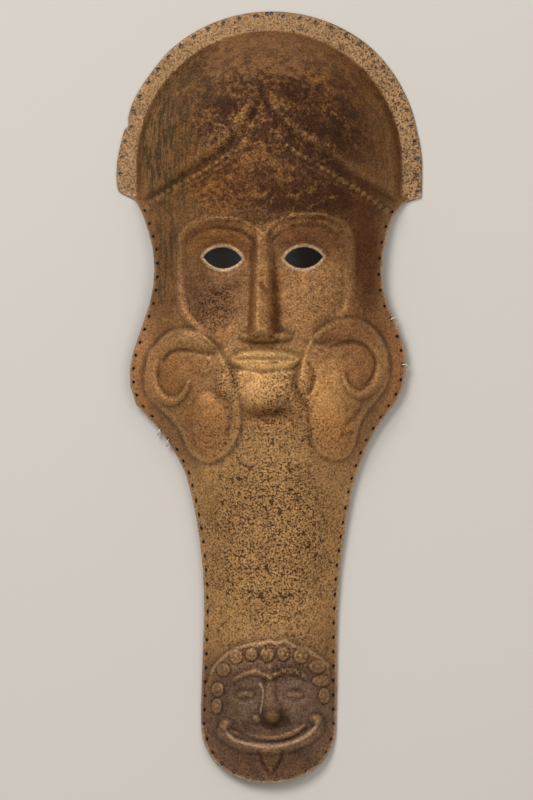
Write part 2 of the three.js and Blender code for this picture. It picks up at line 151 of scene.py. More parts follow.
def windowOf(a, b, reach):
    # rows and columns of the raster about a line from a to b
    x0, x1 = min(a[0], b[0]) - reach, max(a[0], b[0]) + reach
    y0, y1 = min(a[1], b[1]) - reach, max(a[1], b[1]) + reach
    columns = slice(max(0, int((x0 + halfWide) / cell)), max(0, int((x1 + halfWide) / cell) + 2))
    rows = slice(max(0, int((y0 + halfTall) / cell)), max(0, int((y1 + halfTall) / cell) + 2))
    return rows, columns


def lineOf(points, half=None, closed=False):
    # a smooth line through points (x, y) or (x, y, half width), in steps of about 0.7 mm
    points = np.array(points, float)
    if half is not None:
        points = np.column_stack([points[:, :2], np.full(len(points), float(half))])
    if closed:
        points = np.vstack([points[-2:], points, points[:2]])
    run = np.concatenate([[0], np.cumsum(np.hypot(*np.diff(points[:, :2], axis=0).T))])
    first, last = (run[2], run[-2]) if closed else (0, run[-1])
    return through(run, points, np.linspace(first, last, max(6, int((last - first) / 0.7))))


def shareFrom(line):
    # distance from the line over its half width there: 0 on the line, 1 from the stroke's edge outward
    share = np.ones(relief.shape)
    for a, b in zip(line[:-1], line[1:]):
        window = windowOf(a, b, max(a[2], b[2]) + cell)
        dx, dy = b[0] - a[0], b[1] - a[1]
        fromX, fromY = cellsX[window] - a[0], cellsY[window] - a[1]
        along = np.clip((fromX * dx + fromY * dy) / (dx * dx + dy * dy + 1e-9), 0, 1)
        apart = np.hypot(fromX - along * dx, fromY - along * dy)
        share[window] = np.minimum(share[window], apart / (a[2] + along * (b[2] - a[2])))
    return share


def welt(points, high, power=0.75, half=None):
    # round welt along a line: height times (1 - share squared) to a power
    return high * (1 - shareFrom(lineOf(points, half)) ** 2) ** power


def insideOf(line):
    # even and odd crossings to the right of each cell
    inside = np.zeros(relief.shape, bool)
    for a, b in zip(line, np.roll(line, -1, axis=0)):
        low, high = min(a[1], b[1]), max(a[1], b[1])
        rows = slice(int(np.ceil((low + halfTall) / cell)), int(np.ceil((high + halfTall) / cell)))
        if rows.stop > rows.start:
            crossing = a[0] + (cellsY[rows, 0] - a[1]) * (b[0] - a[0]) / (b[1] - a[1])
            inside[rows] ^= cellsX[rows] < crossing[:, None]
    return inside


def signedFrom(points, reach):
    # distance from a closed smooth outline, up to reach, positive inside
    line = lineOf(points, reach, closed=True)
    apart = shareFrom(line) * reach
    return np.where(insideOf(line), apart, -apart)


def plateau(points, high, edge):
    # flat top inside a closed outline, with an S-shaped edge
    return high * smooth(-edge, edge, signedFrom(points, edge))


def mound(x, y, wide, tall, high, power=0.8, turn=0.0):
    # rounded boss: height times (1 - share squared) to a power, on an ellipse turned by degrees
    c, s = np.cos(np.radians(turn)), np.sin(np.radians(turn))
    u = (c * (cellsX - x) + s * (cellsY - y)) / wide
    v = (c * (cellsY - y) - s * (cellsX - x)) / tall
    return high * np.maximum(0, 1 - u * u - v * v) ** power


def together(*shapes):
    # shapes of one feature join without adding up
    return np.maximum.reduce(shapes)


def soften(field, reach):
    # three box means in turn, by running sums along each axis
    size = max(1, int(reach / cell))
    for _ in range(3):
        for axis in (0, 1):
            padded = np.pad(field, [(size + 1, size) if k == axis else (0, 0) for k in (0, 1)], mode="edge")
            sums = np.cumsum(padded, axis=axis)
            ends = np.take(sums, range(2 * size + 1, sums.shape[axis]), axis=axis)
            starts = np.take(sums, range(0, sums.shape[axis] - 2 * size - 1), axis=axis)
            field = (ends - starts) / (2 * size + 1)
    return field


def waves(size, seedRows):
    # smooth random swell, about -1 to 1, from a coarse table of draws
    coarse = draw.normal(size=seedRows)
    rows = np.linspace(0, seedRows[0] - 1, relief.shape[0])
    columns = np.linspace(0, seedRows[1] - 1, relief.shape[1])
    tall = through(np.arange(seedRows[0]), coarse, rows)
    return size * through(np.arange(seedRows[1]), tall.T, columns).T


helmet = {
    "edgeLeft": [(-86, 112.5), (-76, 117), (-66, 121.5), (-58, 126), (-50, 131.3), (-42.7, 135.3),
                 (-36, 139.3), (-30, 143), (-22.7, 149.5), (-17.3, 155.3), (-11.3, 164), (-7.2, 171.5),
                 (-5.2, 179), (-4.6, 188)],
    "edgeRight": [(-4.6, 188), (-3.4, 179), (-1, 171.5), (3, 165), (9, 157.5), (15, 152.8), (20, 149.6),
                  (26, 145.4), (32.3, 140.6), (38.3, 136.5), (45, 132), (51.7, 128.4), (60, 123.9),
                  (68, 119.6), (76, 116), (88, 111)],
    "step": 2.0,
    "groove": 0.95,
    "beadsLeft": [(-72.8, 112.6), (-69, 116.2), (-63.3, 120.2), (-58, 123.4), (-52, 126.2), (-46, 129.8),
                  (-40, 133), (-34, 136.8), (-28, 140.9), (-21.5, 145), (-16.5, 149.2), (-12.3, 154.2),
                  (-8, 159.3)],
    "beadsRight": [(69.5, 110.7), (64.6, 114.2), (59.6, 118), (54, 121.8), (47.7, 125.3), (42, 128.4),
                   (36, 132.2), (29.7, 136.5), (23.7, 140), (16, 144.6), (10, 149.6), (4.5, 154.6),
                   (-1, 160)],
    "beadPitch": 4.1,
    "beadRadius": 2.05,
    "beadHigh": 1.5,
}
edge = np.vstack([lineOf(helmet["edgeLeft"], 7)[:-1], lineOf(helmet["edgeRight"], 7)])
around = np.vstack([edge[:, :2], [(92.9, 110), (92.9, 231), (-92.9, 231), (-92.9, 112)]])
apart = np.where(insideOf(around), 1, -1) * shareFrom(edge) * 7
onDome = smooth(0, 7, plate["domeRadius"] - np.hypot(cellsX, np.maximum(0, cellsY - plate["domeY"])))
nearPoint = smooth(192, 176, cellsY)
sharper = smooth(152, 176, cellsY) * (cellsX < 0)
grooveWide = 1.9 - 0.9 * sharper
shell = helmet["step"] * smooth(0, 6.5, apart) * smooth(200, 160, cellsY)
shell = shell - helmet["groove"] * np.exp(-(apart / grooveWide) ** 2) * (1 - 0.35 * smooth(0, 12, cellsX))
relief += shell * onDome * nearPoint


def beadsAlong(points):
    # beads at an even pitch along a line, each its own shade of size
    line = lineOf(points, 1)
    run = np.concatenate([[0], np.cumsum(np.hypot(*np.diff(line[:, :2], axis=0).T))])
    at = np.arange(0, run[-1], helmet["beadPitch"])
    at = at + draw.uniform(-0.35, 0.35, len(at))
    row = np.zeros(relief.shape)
    for x, y in zip(np.interp(at, run, line[:, 0]), np.interp(at, run, line[:, 1])):
        radius = helmet["beadRadius"] * draw.uniform(0.85, 1.08)
        faint = 1 - 0.6 * smooth(24, 6, abs(x + 3)) - 0.35 * smooth(6, 30, x) * smooth(52, 40, x)
        row = together(row, mound(x, y, radius, radius * 0.95, helmet["beadHigh"] * faint, 0.6))
    return row


relief += beadsAlong(helmet["beadsLeft"]) + beadsAlong(helmet["beadsRight"])
# a soft fold of the brow follows the beads on each side
relief += welt([(-75, 109.8), (-62, 118), (-50, 124.4), (-38, 130.4), (-26, 138), (-14, 148)], 0.5, 1, 1.6)
relief += welt([(72, 107.3), (60, 114.4), (48, 121.6), (36, 128.4), (24, 136)], 0.45, 1, 1.6)
print("helmet edge and beads drawn")

face = {
    "frameLeft": [(-37, 104), (-44, 101.5), (-49.5, 98), (-52.6, 93), (-53.8, 88), (-54.2, 80), (-53.8, 72),
                  (-53, 64), (-51.8, 56), (-49.6, 49.5), (-45.6, 44.5), (-41, 40.4), (-36, 35.5),
                  (-32, 31.5)],
    "frameRight": [(33, 107), (40, 104), (44.4, 100.5), (46.8, 96), (48.2, 90), (48.2, 80), (47.8, 72),
                   (47.3, 63), (45.4, 55), (41.5, 48.6), (36, 43.5), (30, 39.5), (25, 35)],
    "upperLeft": [(-50, 98.5), (-43, 103), (-36, 105.2), (-25, 105.1), (-15, 103.6), (-9.5, 100.6), (-3, 96)],
    "lowerLeft": [(-46, 94), (-41, 98.4), (-32, 100.2), (-22, 99.4), (-15, 96.8), (-10, 92.4)],
    "upperRight": [(-3, 96.5), (2, 102), (8, 105.2), (15, 107.1), (24, 107.8), (33, 107), (40, 104),
                   (44, 100)],
    "lowerRight": [(2, 92.5), (6, 96.6), (12, 100), (20, 101.9), (28, 101.8), (35, 99.6), (41, 95)],
    "bandLeft": [(-42, 100.5), (-34, 103), (-25, 102.6), (-16, 100.6), (-9, 96.6), (-5, 92)],
    "bandRight": [(4, 98.5), (9, 101.4), (15, 103.8), (24, 104.6), (33, 103.4), (40, 100)],
    "creaseLeft": [(-42, 104.4), (-35, 107.2), (-26, 106.8), (-18, 106), (-12, 104), (-7, 100.8), (-3, 98.6)],
    "creaseRight": [(-3, 98.6), (1, 103.2), (8, 106.8), (15, 109), (24, 109.8), (33, 109), (40, 106)],
    "eyes": [(-27.6, 82.3, -3.5), (20.3, 82.4, 3.0)],
    "eyeHalfLength": 11.5,
    "eyeHalfHeight": 6.2,
    # heights that the eye openings are cut between
    "eyeCut": (-10, 70),
}


def lensOf(eye, grow, count=20):
    # two arcs that meet in sharp corners, the lens of an eye opening, grown all round
    x, y, turn = eye
    length = face["eyeHalfLength"] + grow
    height = face["eyeHalfHeight"] + grow
    radius = (length ** 2 + height ** 2) / (2 * height)
    spread = np.arcsin(length / radius)
    angle = np.linspace(-spread, spread, count, endpoint=False)
    top = np.column_stack([-radius * np.sin(angle), radius * np.cos(angle) - (radius - height)])
    both = np.vstack([top, -top])
    c, s = np.cos(np.radians(turn)), np.sin(np.radians(turn))
    return np.column_stack([x + c * both[:, 0] - s * both[:, 1], y + s * both[:, 0] + c * both[:, 1]])


relief += together(welt(face["frameLeft"], 1.15, 1.1, 3.3), welt(face["upperLeft"], 0.9, 1.1, 2.8),
                   welt(face["bandLeft"], 0.95, 1, 3.6), welt(face["bandRight"], 0.85, 1, 3.6),
                   welt(face["frameRight"], 0.8, 1.2, 3.8), welt(face["upperRight"], 0.9, 1.1, 3.0))
relief -= welt(face["creaseLeft"], 0.5, 1, 1.0) + welt(face["lowerLeft"], 0.4, 1, 1.4)
relief -= welt(face["creaseRight"], 0.4, 1, 1.2) + welt(face["lowerRight"], 0.35, 1, 1.4)
# the face inside its frame sits lower than the cheek pieces outside
faceLine = np.vstack([lineOf(face["frameLeft"], 1)[::-1], lineOf(face["frameRight"], 1)])[:, :2]
faceInside = soften(insideOf(faceLine).astype(float), 1.2)
relief -= 1.0 * faceInside * smooth(36, 50, cellsY)
# painted highlight lines: along the eye rims here, and later down the gorgon's nose, along its hair's edge
# and its lower lip
paintedHighlightLines = np.zeros(relief.shape)
for eye in face["eyes"]:
    relief -= mound(eye[0], eye[1] + 2, 17.5, 12.5, 1.3, 1.4)
    ring = np.vstack([lensOf(eye, 0.9), lensOf(eye, 0.9)[:1]])
    ring = np.column_stack([ring, np.full(len(ring), 1.25)])
    relief += 0.5 * (1 - shareFrom(ring) ** 2) ** 0.7
    paintedHighlightLines = np.maximum(paintedHighlightLines, smooth(1, 0.5, shareFrom(ring)))
# cheeks
relief += mound(-33, 60, 17, 20, 1.6, 1.3) + mound(28, 60, 16, 20, 1.6, 1.3)

# Nose: foot and top edge on the left, top edge and foot on the right, and height, at stations up it
nose = np.array([
    (31.6, -13.0, -8.0, -2.0, 7.0, 0), (33.6, -13.6, -8.2, -2.0, 7.6, 4.6),
    (37.6, -13.6, -8.0, -2.0, 8.0, 9.2), (45, -13.2, -7.8, -1.8, 7.0, 9.0),
    (60, -12.6, -7.2, -2.0, 6.2, 7.4), (76, -12.0, -6.4, -2.6, 4.8, 5.2), (88, -11.0, -6.0, -3.0, 3.6, 3.2),
    (98, -9.6, -5.6, -3.6, 2.0, 1.2), (105, -8.0, -5.4, -4.0, 1.0, 0)])
noseRow = through(nose[:, 0], nose[:, 1:], cellsY[:, 0])
noseBand = (cellsY >= nose[0, 0]) & (cellsY <= nose[-1, 0])
leftSide = smooth(noseRow[:, 0:1], noseRow[:, 1:2], cellsX)
rightSide = 1 - smooth(noseRow[:, 2:3], noseRow[:, 3:4], cellsX)
bridge = 1 - 0.05 * ((cellsX + 4.5) / 4) ** 2
noseHigh = np.maximum(0, noseRow[:, 4:5]) * leftSide * rightSide * np.clip(bridge, 0.7, 1)
relief += np.where(noseBand, noseHigh, 0)
# wings, nostrils, a dent in the bridge and the dip under the nose
relief += mound(-12.4, 36, 5.6, 3.4, 2.6, 1) + mound(8, 36, 5.4, 3.4, 2.6, 1)
relief -= mound(-7.7, 35.2, 1.5, 1.2, 1.8, 0.8) + mound(1.2, 35.4, 1.6, 1.2, 1.8, 0.8)
relief -= welt([(-4.8, 66.5), (-3, 64), (-1, 62)], 0.9, 1, 1.8)
relief -= welt([(-8, 31.4), (-2.5, 30.6), (4, 31.4)], 0.7, 1, 2.2)

# Lips, chin and the hollow below it
lips = [(-23, 21.6), (-19, 25.6), (-10, 27.4), (-2, 27.7), (6, 27.2), (13, 26), (18, 22.2), (14, 18),
        (5, 16.4), (-2.5, 16), (-11, 16.4), (-19, 18.2)]
relief += plateau(lips, 2.4, 1.5)
relief -= welt([(-21, 22), (-12, 22.4), (-2, 22.5), (8, 22.2), (16, 22.2)], 0.7, 1, 1.1)
# two nicks in the lips, the swell round the mouth, then the chin
relief -= mound(4.3, 20.2, 2.1, 0.9, 0.8, 0.8) + mound(-16, 21, 1.2, 0.8, 0.5, 0.8)
relief += mound(-2.5, 24, 27, 17, 1.6, 1.3)
relief += together(mound(-2.5, 3.5, 18, 15, 4.6, 1.1),
                   plateau([(-19.5, 14), (-2.5, 15.5), (14.5, 14), (13.4, 4), (10, -3.4), (-2.5, -5.6),
                            (-15, -3.4), (-18.4, 4)], 2.3, 2.6))
relief -= mound(1, -11, 18, 7, 1.5, 1.3)
relief -= welt([(14.4, 13), (12.6, 4), (10.6, -3)], 0.6, 1, 1.6)
relief += welt([(-8.5, -21.2), (0, -20.9), (9.5, -21.3)], 0.45, 0.8, 0.6)
print("face drawn")

ramLeft = {
    "outline": [(-34, 33), (-38, 36.5), (-44, 39.5), (-50, 40.6), (-57, 39.8), (-62.5, 36.4), (-67, 31.6),
                (-71, 27), (-73, 20), (-74.2, 12), (-73.6, 5), (-70.6, -1), (-65.3, -6.2), (-60, -11),
                (-54.6, -17.4), (-51, -24), (-48.4, -30.4), (-43.5, -36.2), (-37, -38.8), (-30.6, -37),
                (-24.6, -33), (-19.6, -26), (-17.2, -18), (-17.4, -8), (-19, 0), (-20.8, 8), (-24, 16),
                (-27.6, 23.6), (-31, 29.6)],
    "horn": [(-34, 29.5, 3.6), (-42, 33, 5), (-50, 34.2, 5.6), (-58, 32.8, 5.4), (-64.5, 28, 4.6),
             (-68.8, 21, 3.5), (-69.8, 13, 3.2), (-68, 4.5, 3.2), (-63, -1.3, 3.1), (-57, -2.5, 2.8),
             (-52, 0.5, 2.1), (-49.5, 4.5, 1.5), (-48.2, 8.5, 0.9)],
    "crease": [(-63, 21, 1.0), (-60, 25.4, 1.3), (-54, 27.4, 1.4), (-46, 27, 1.3), (-39, 25.4, 0.9)],
    "disc": (-56.5, 13, 10.5, 12),
    "eye": (-37, 18.2, 3.0, 6.6, -22),
    "ear": (-26.4, 6.4, 5.0, 8.4, 14),
    "muzzle": (-35.6, -16, 10.6, 19.5, 2.6, 4),
}
ramRight = {
    "outline": [(24.5, 34), (27, 38), (31, 41.2), (36, 44.2), (42, 46.2), (48, 46.6), (54, 45.6), (60, 42),
                (65, 36.6), (68.5, 30.8), (70.6, 24), (71.2, 17), (70.4, 10), (67.8, 4), (64.4, -0.4),
                (61.2, -4.4), (57.2, -9.4), (54.4, -14), (52.6, -19), (51.4, -25), (49.6, -30.4),
                (46.8, -34.6), (42, -37), (36, -36.6), (31, -34), (27, -29.4), (25, -19), (24.2, -12),
                (23, -5), (19.6, 0), (16.8, 5), (17, 11), (19, 18), (20.6, 24), (22, 29)],
    "horn": [(30, 36, 4), (38, 38.6, 5.6), (47, 39.6, 6.2), (55, 38, 6), (62, 33, 5.2), (66, 26, 4),
             (67, 18, 3.5), (65, 10, 3.2), (60, 4, 3), (54, 1, 2.6), (48.5, 3.8, 2.2), (45, 9.2, 1.6),
             (43.8, 13.4, 1)],
    "crease": [(36, 29.6, 0.8), (43, 31.8, 1.4), (49, 32.6, 1.5), (54, 31.8, 1.4), (59, 28.6, 1.3),
               (62, 24, 1.3), (62.8, 18, 1.3), (60.6, 11.6, 1.1), (57, 7, 0.9)],
    "disc": (53.4, 17.6, 9.6, 12.4),
    "eye": (31, 27, 5.4, 3.6, -20),
    "ear": (21.2, 8.8, 3.6, 8.8, 4),
    "muzzle": (36.6, -15, 10.8, 20, 2.8, 8),
}


def ramHead(ram):
    # a raised guard with the horn coiled round a disc, an eye, an ear and the muzzle
    head = plateau(ram["outline"], 1.5, 1.6)
    rim = lineOf(ram["outline"], 2.4, closed=True)
    head = head + 0.4 * (1 - shareFrom(rim) ** 2) * insideOf(rim)
    head = head + welt(ram["horn"], 1.6, 0.9) - welt(ram["crease"], 1.0, 1)
    x, y, wide, tall = ram["disc"]
    head = head + mound(x, y, wide, tall, 0.7, 1.2)
    x, y, wide, tall, turn = ram["eye"]
    head = head + mound(x, y, wide, tall, 0.9, 0.7, turn)
    head = head - mound(x, y, wide * 0.55, tall * 0.6, 0.7, 0.8, turn)
    x, y, wide, tall, turn = ram["ear"]
    head = head + mound(x, y, wide, tall, 1.5, 0.9, turn)
    x, y, wide, tall, high, turn = ram["muzzle"]
    return head + mound(x, y, wide, tall, high * 0.75, 0.9, turn)


relief += ramHead(ramLeft)
relief += ramHead(ramRight)
# folds between the heads and the face
relief -= welt([(53, -8), (50, -12.4), (46, -15.6), (44, -19), (43, -23.5)], 0.8, 1, 2.4)
relief -= welt([(-24.5, -22), (-23, -12), (-24.6, -3)], 0.5, 1, 2)
relief -= welt([(23.4, 2), (26.4, 8), (26, 15), (23.6, 20)], 0.9, 1, 1.5)
print("ram's heads drawn")

gorgon = {
    "hair": [(-34.5, -164), (-30, -157.6), (-23, -151.6), (-15, -148), (-8, -147), (-3, -146), (1, -145.2),
             (5, -146.4), (8, -145), (12, -146), (16, -148.4), (22, -149.6), (26, -152.6), (31, -156),
             (35, -160)],
    "curls": [(-19.8, -154.4, 4.0, 4.2), (-10.6, -152.8, 3.7, 4.0), (-1.2, -152.8, 4.3, 4.4),
              (8.4, -152.5, 3.7, 4.3), (18.9, -154, 4.3, 4.3), (28.7, -160.3, 4.8, 4.0),
              (31, -168.8, 5.2, 3.3), (32.8, -177.8, 3.3, 4.6), (-27.4, -162.2, 4.0, 3.9),
              (-30.8, -174, 3.6, 4.3), (-31.3, -184, 3.1, 4.6)],
    "browLeft": [(-20.6, -168, 1.4), (-14, -164.4, 2.0), (-8, -163.2, 2.2), (-3, -165, 2.0),
                 (0.4, -167.4, 1.4)],
    "browRight": [(0.6, -167, 1.4), (5, -164, 2.0), (11, -162.6, 2.4), (17, -163.6, 2.3),
                  (21.4, -166.4, 1.5)],
    "lip": [(-26.5, -197.4, 1.0), (-23, -202.4, 1.5), (-15, -205.8, 1.6), (-8, -207.2, 1.7),
            (0, -207.6, 1.7), (8, -206.8, 1.7), (15, -204.8, 1.6), (22, -201.6, 1.6), (27, -197.4, 1.5),
            (29.6, -192.6, 1.2)],
    "mouth": [(-26.6, -194.6, 2.6), (-28.4, -199, 3.4), (-23, -204.6, 3.2), (-14, -208.4, 3.1),
              (-4, -209.6, 3), (7, -209, 3), (17, -206.8, 3.2), (25.6, -202.2, 3.4), (30, -196, 3.4),
              (29, -191.6, 3.2)],
    "upperLip": [(-20.5, -199.4, 1.0), (-12, -202, 1.8), (-3, -203.4, 2.0), (8, -202, 2.0),
                 (16, -198.6, 1.6), (21, -195.4, 0.9)],
    "tongue": [(-5.4, -210), (-4.2, -215), (-2, -219.6), (1, -223), (3.6, -219.6), (6, -215),
               (7, -210), (1, -208.6)],
}


def curl(x, y, wide, tall):
    # a snail curl: a boss with a ring groove and a raised bead in its middle
    u = np.hypot((cellsX - x) / wide, (cellsY - y) / tall)
    boss = 1.6 * np.maximum(0, 1 - u * u) ** 0.55
    return boss - 0.75 * np.exp(-((u - 0.48) / 0.2) ** 2)


# the head's swell, the hair's edge and curls, brows, eyes, nose, cheeks, mouth and tongue
relief += mound(0.5, -181, 37, 37, 2.4, 1.3)
relief += welt(gorgon["hair"], 1.1, 0.7, 1.5)
hairLine = lineOf(gorgon["hair"], 5)
below = np.vstack([hairLine[:, :2], [(38, -172), (38, -210), (-38, -210), (-38, -172)]])
belowHair = np.where(insideOf(below), shareFrom(hairLine) * 5, 0)
relief += 0.9 * smooth(0, 2.2, belowHair) * smooth(-200, -178, cellsY)
for spot in gorgon["curls"]:
    x, y, wide, tall = spot
    relief += curl(x, y, wide, tall)
    relief -= 0.55 * np.exp(-((np.hypot((cellsX - x) / wide, (cellsY - y) / tall) - 1.12) / 0.12) ** 2)
relief += together(welt(gorgon["browLeft"], 1.4, 0.8), welt(gorgon["browRight"], 1.6, 0.8))
relief += mound(0.6, -160.4, 2.2, 1.9, 0.8, 0.9)
for x, wide in ((-14.4, 5.4), (15.2, 5.2)):
    relief -= mound(x, -176.8, wide + 3.6, 5.4, 0.9, 1.2)
    relief += mound(x, -177, wide, 2.6, 1.5, 0.7) - mound(x, -178.4, wide * 0.75, 1.1, 0.5, 0.9)
relief += welt([(0.4, -165, 2.8), (0.4, -172, 3.8), (0.4, -180, 4.8), (1.4, -188, 6.6)], 1.5, 1.4)
relief += mound(2.6, -191.4, 8.6, 5.6, 1.3, 1.2) + mound(-7.4, -191.6, 3.0, 2.8, 1.3, 0.8)
noseLine = [(-5.4, -170.5, 0.9), (-4.2, -172.6, 0.7), (-3.8, -177, 0.5), (-4.6, -183, 0.5), (-5.4, -188, 0.4)]
relief += welt(noseLine, 0.5, 0.8)
# painted highlights: a light line down the left of the gorgon's nose, along its hair's edge and along the
# lower lip
paintedHighlightLines = np.maximum(paintedHighlightLines, 0.9 * smooth(1, 0.3, shareFrom(lineOf(noseLine))))
paintedHighlightLines = np.maximum(paintedHighlightLines, 0.5 * smooth(1, 0.4, shareFrom(lineOf(gorgon["hair"], 0.9))))
paintedHighlightLines = np.maximum(paintedHighlightLines, 0.45 * smooth(1, 0.4, shareFrom(lineOf(gorgon["lip"]))))
relief += mound(-16, -187, 11, 11, 1.2, 1.2) + mound(18, -186, 11, 11, 1.2, 1.2)
relief += welt(gorgon["mouth"], 1.35, 1.0)
relief += 0.6 * (1 - shareFrom(lineOf(gorgon["lip"])) ** 2) ** 0.8
relief += welt(gorgon["upperLip"], 0.8, 0.9)
mouthGap = [(-22, -197.6), (-14, -201.6), (-4, -204.2), (6, -204.6), (15, -202.4), (23, -197)]
relief -= welt(mouthGap, 0.9, 1, 1.5)
relief += together(mound(-26.2, -194.6, 4.0, 3.6, 1.4, 0.7), mound(27.6, -191.8, 3.7, 3.6, 1.4, 0.7))
tongue = signedFrom(gorgon["tongue"], 5)
relief += 1.1 * smooth(-0.6, 1.6, tongue) + 0.5 * smooth(1, 4.5, tongue)
tongueEdge = [(-7, -210.5, 0.9), (-5, -217, 0.9), (1, -225, 0.8), (6.6, -217, 0.9), (8.6, -210.5, 0.9)]
relief -= welt(tongueEdge, 0.45, 0.9)
print("gorgon's head drawn")

# Hammering: long swells, and pits in clusters
relief += waves(0.2, (30, 12)) + waves(0.1, (90, 36)) * (1 - smooth(70, 79, np.hypot(
    cellsX, np.maximum(0, cellsY - plate["domeY"]))))
pitFields = [(-33, 52, 9, 10, 34), (-8, 168, 46, 18, 60), (0, -85, 34, 45, 150), (0, 120, 40, 14, 40),
             (5, -12, 16, 9, 26), (14, 4, 4, 14, 18), (34, 62, 12, 14, 22), (-24, 8, 5, 9, 14)]
for x, y, wide, tall, count in pitFields:
    for _ in range(count):
        px, py = x + wide * draw.uniform(-1, 1), y + tall * draw.uniform(-1, 1)
        radius = draw.uniform(0.6, 1.3)
        window = windowOf((px, py), (px, py), radius + cell)
        far = np.hypot(cellsX[window] - px, cellsY[window] - py) / radius
        relief[window] -= 0.3 * np.maximum(0, 1 - far * far)

# The raised work fades out before the flange and the rim
onFlange = np.hypot(cellsX, np.maximum(0, cellsY - plate["domeY"])) > plate["domeRadius"]
rimHere = np.where(cellsX < 0, rimAt(cellsY, -1), rimAt(cellsY, 1))
fromRim = rimHere - np.abs(cellsX)
keep = np.where(cellsY > 121, 1 - 0.92 * onFlange, smooth(0, 6, fromRim))
relief *= keep
# painted shade and dirt: hollows are where the relief lies below its own blur, kept lighter left of the nose;
# ridges, where it stands above, get wear and painted highlight
smoothed = soften(relief, 1.6)
hollows = np.clip((smoothed - relief) / 0.5, 0, 1) * (1 - mound(-14, 56, 6, 26, 0.8, 0.5))
ridges = np.clip((relief - smoothed) / 0.5, 0, 1)
print("relief drawn", relief.min().round(2), relief.max().round(2))


def sample(field, x, y):
    # value of a raster at points, straight between its cells
    u = np.clip((x + halfWide) / cell, 0, field.shape[1] - 1.001)
    v = np.clip((y + halfTall) / cell, 0, field.shape[0] - 1.001)
    i, j = u.astype(int), v.astype(int)
    s, t = u - i, v - j
    low = field[j, i] * (1 - s) + field[j, i + 1] * s
    high = field[j + 1, i] * (1 - s) + field[j + 1, i + 1] * s
    return low * (1 - t) + high * t


def roundedShare(u, v):
    # a square's corner mapped on a quarter disc, ring by ring: returns the ring and the angle on it
    ring = np.maximum(np.abs(u), v)
    safe = np.maximum(ring, 1e-9)
    low = np.pi / 4 * v / safe
    high = np.pi / 2 - np.pi / 4 * np.abs(u) / safe
    return ring, np.where(np.abs(u) >= v, low, high)


def widthAt(ring, rim, dome):
    # distance out: even up to the dome's edge, then even over the flange
    share = plate["domeRadius"] / plate["flangeRadius"]
    return np.where(ring <= share, dome * ring / share, dome + (rim - dome) * (ring - share) / (1 - share))


def sheetGrid():
    # places of the front's grid: the body row by row, a disc's half above it and a rounded end below
    share = plate["domeRadius"] / plate["flangeRadius"]
    outer = np.append(np.linspace(share, 0.994, plate["outerColumns"], endpoint=False), [0.994, 1])[1:]
    side = np.concatenate([np.linspace(0, share, plate["innerColumns"] + 1), outer])
    u = np.concatenate([-side[:0:-1], side])
    ends = np.concatenate([np.linspace(0, 0.985, plate["endCells"]), [1]])[::-1]
    body = [np.linspace(low, high, count, endpoint=False) for low, high, count in plate["zones"]]
    body = np.concatenate(body)
    crest = np.append(np.linspace(share, 0.994, plate["flangeCells"], endpoint=False), [0.994, 1])[1:]
    crest = np.concatenate([np.linspace(0, share, plate["domeCells"] + 1), crest])
    if (len(ends) + len(body) + len(crest)) % 2 == 1:
        body = np.append(body, (body[-1] + plate["domeY"]) / 2)

    across, v = np.meshgrid(u, ends[:-1])
    ring, angle = roundedShare(across, v)
    n = plate["endRoundness"]
    reach = 1 / (np.cos(angle) ** n + np.maximum(0, np.sin(angle)) ** n) ** (1 / n)
    half = np.where(across < 0, leftRim[0, 1], rightRim[0, 1])
    lowX = np.sign(across) * widthAt(ring, half, half * 0.82) * reach * np.cos(angle)
    lowOut = widthAt(ring, half, half * 0.82) * reach
    lowY = plate["endY"] - plate["endRise"] / half * lowOut * np.sin(angle)

    across, midY = np.meshgrid(u, body)
    half = np.where(across < 0, rimAt(midY, -1), rimAt(midY, 1))
    turn = smooth(112, 121, midY)
    dome = half * 0.82 * (1 - turn) + plate["domeRadius"] * turn
    midX = np.sign(across) * widthAt(np.abs(across), half, dome)

    across, v = np.meshgrid(u, crest)
    ring, angle = roundedShare(across, v)
    degrees = np.degrees(np.where(across < 0, np.pi - angle, angle))
    rim = np.interp(degrees, flangeRim[:, 0], flangeRim[:, 1])
    out = widthAt(ring, rim, plate["domeRadius"])
    topX = np.sign(across) * out * np.cos(angle)
    topY = plate["domeY"] + out * np.sin(angle)
    x = np.vstack([lowX, midX, topX])
    y = np.vstack([lowY, midY, topY])
    return x, y


def sheetMesh():
    # front grid, a back of half its density one thickness behind it along the normal, and the rim between
    x, y = sheetGrid()
    z = plainHeight(x, y) + sample(relief, x, y)
    front = np.stack([x, y, z], axis=-1)
    back = (front - plate["thickness"] * plainNormal(x, y))[::2, ::2]
    back[..., 2] = np.maximum(back[..., 2], 0)
    for border in (np.s_[0, :], np.s_[-1, :], np.s_[:, 0], np.s_[:, -1]):
        front[border][..., 2] -= plate["roundedEdge"]
        front[border][..., 2] = np.maximum(front[border][..., 2], 0.4)
    rows, columns = x.shape
    backRows, backColumns = back.shape[:2]
    frontIndex = np.arange(rows * columns).reshape(rows, columns)
    backIndex = rows * columns + np.arange(backRows * backColumns).reshape(backRows, backColumns)

    def quads(index, flip):
        # faces of a grid, turned over for a back
        corners = [index[:-1, :-1], index[:-1, 1:], index[1:, 1:], index[1:, :-1]]
        return np.stack(corners[::-1] if flip else corners, axis=-1).reshape(-1, 4)

    def borderOf(index):
        # the grid's border once round, against the clock
        return np.concatenate([index[0, :-1], index[:-1, -1], index[-1, :0:-1], index[:0:-1, 0]])

    upper, lower = borderOf(frontIndex), borderOf(backIndex)
    after = np.roll(lower, -1)
    wall = np.stack([lower, after, np.roll(upper, -2)[::2], upper[1::2], upper[::2]], axis=-1)
    points = np.vstack([front.reshape(-1, 3), back.reshape(-1, 3)])
    faces = quads(frontIndex, False).tolist() + quads(backIndex, True).tolist() + wall.tolist()
    return points, faces


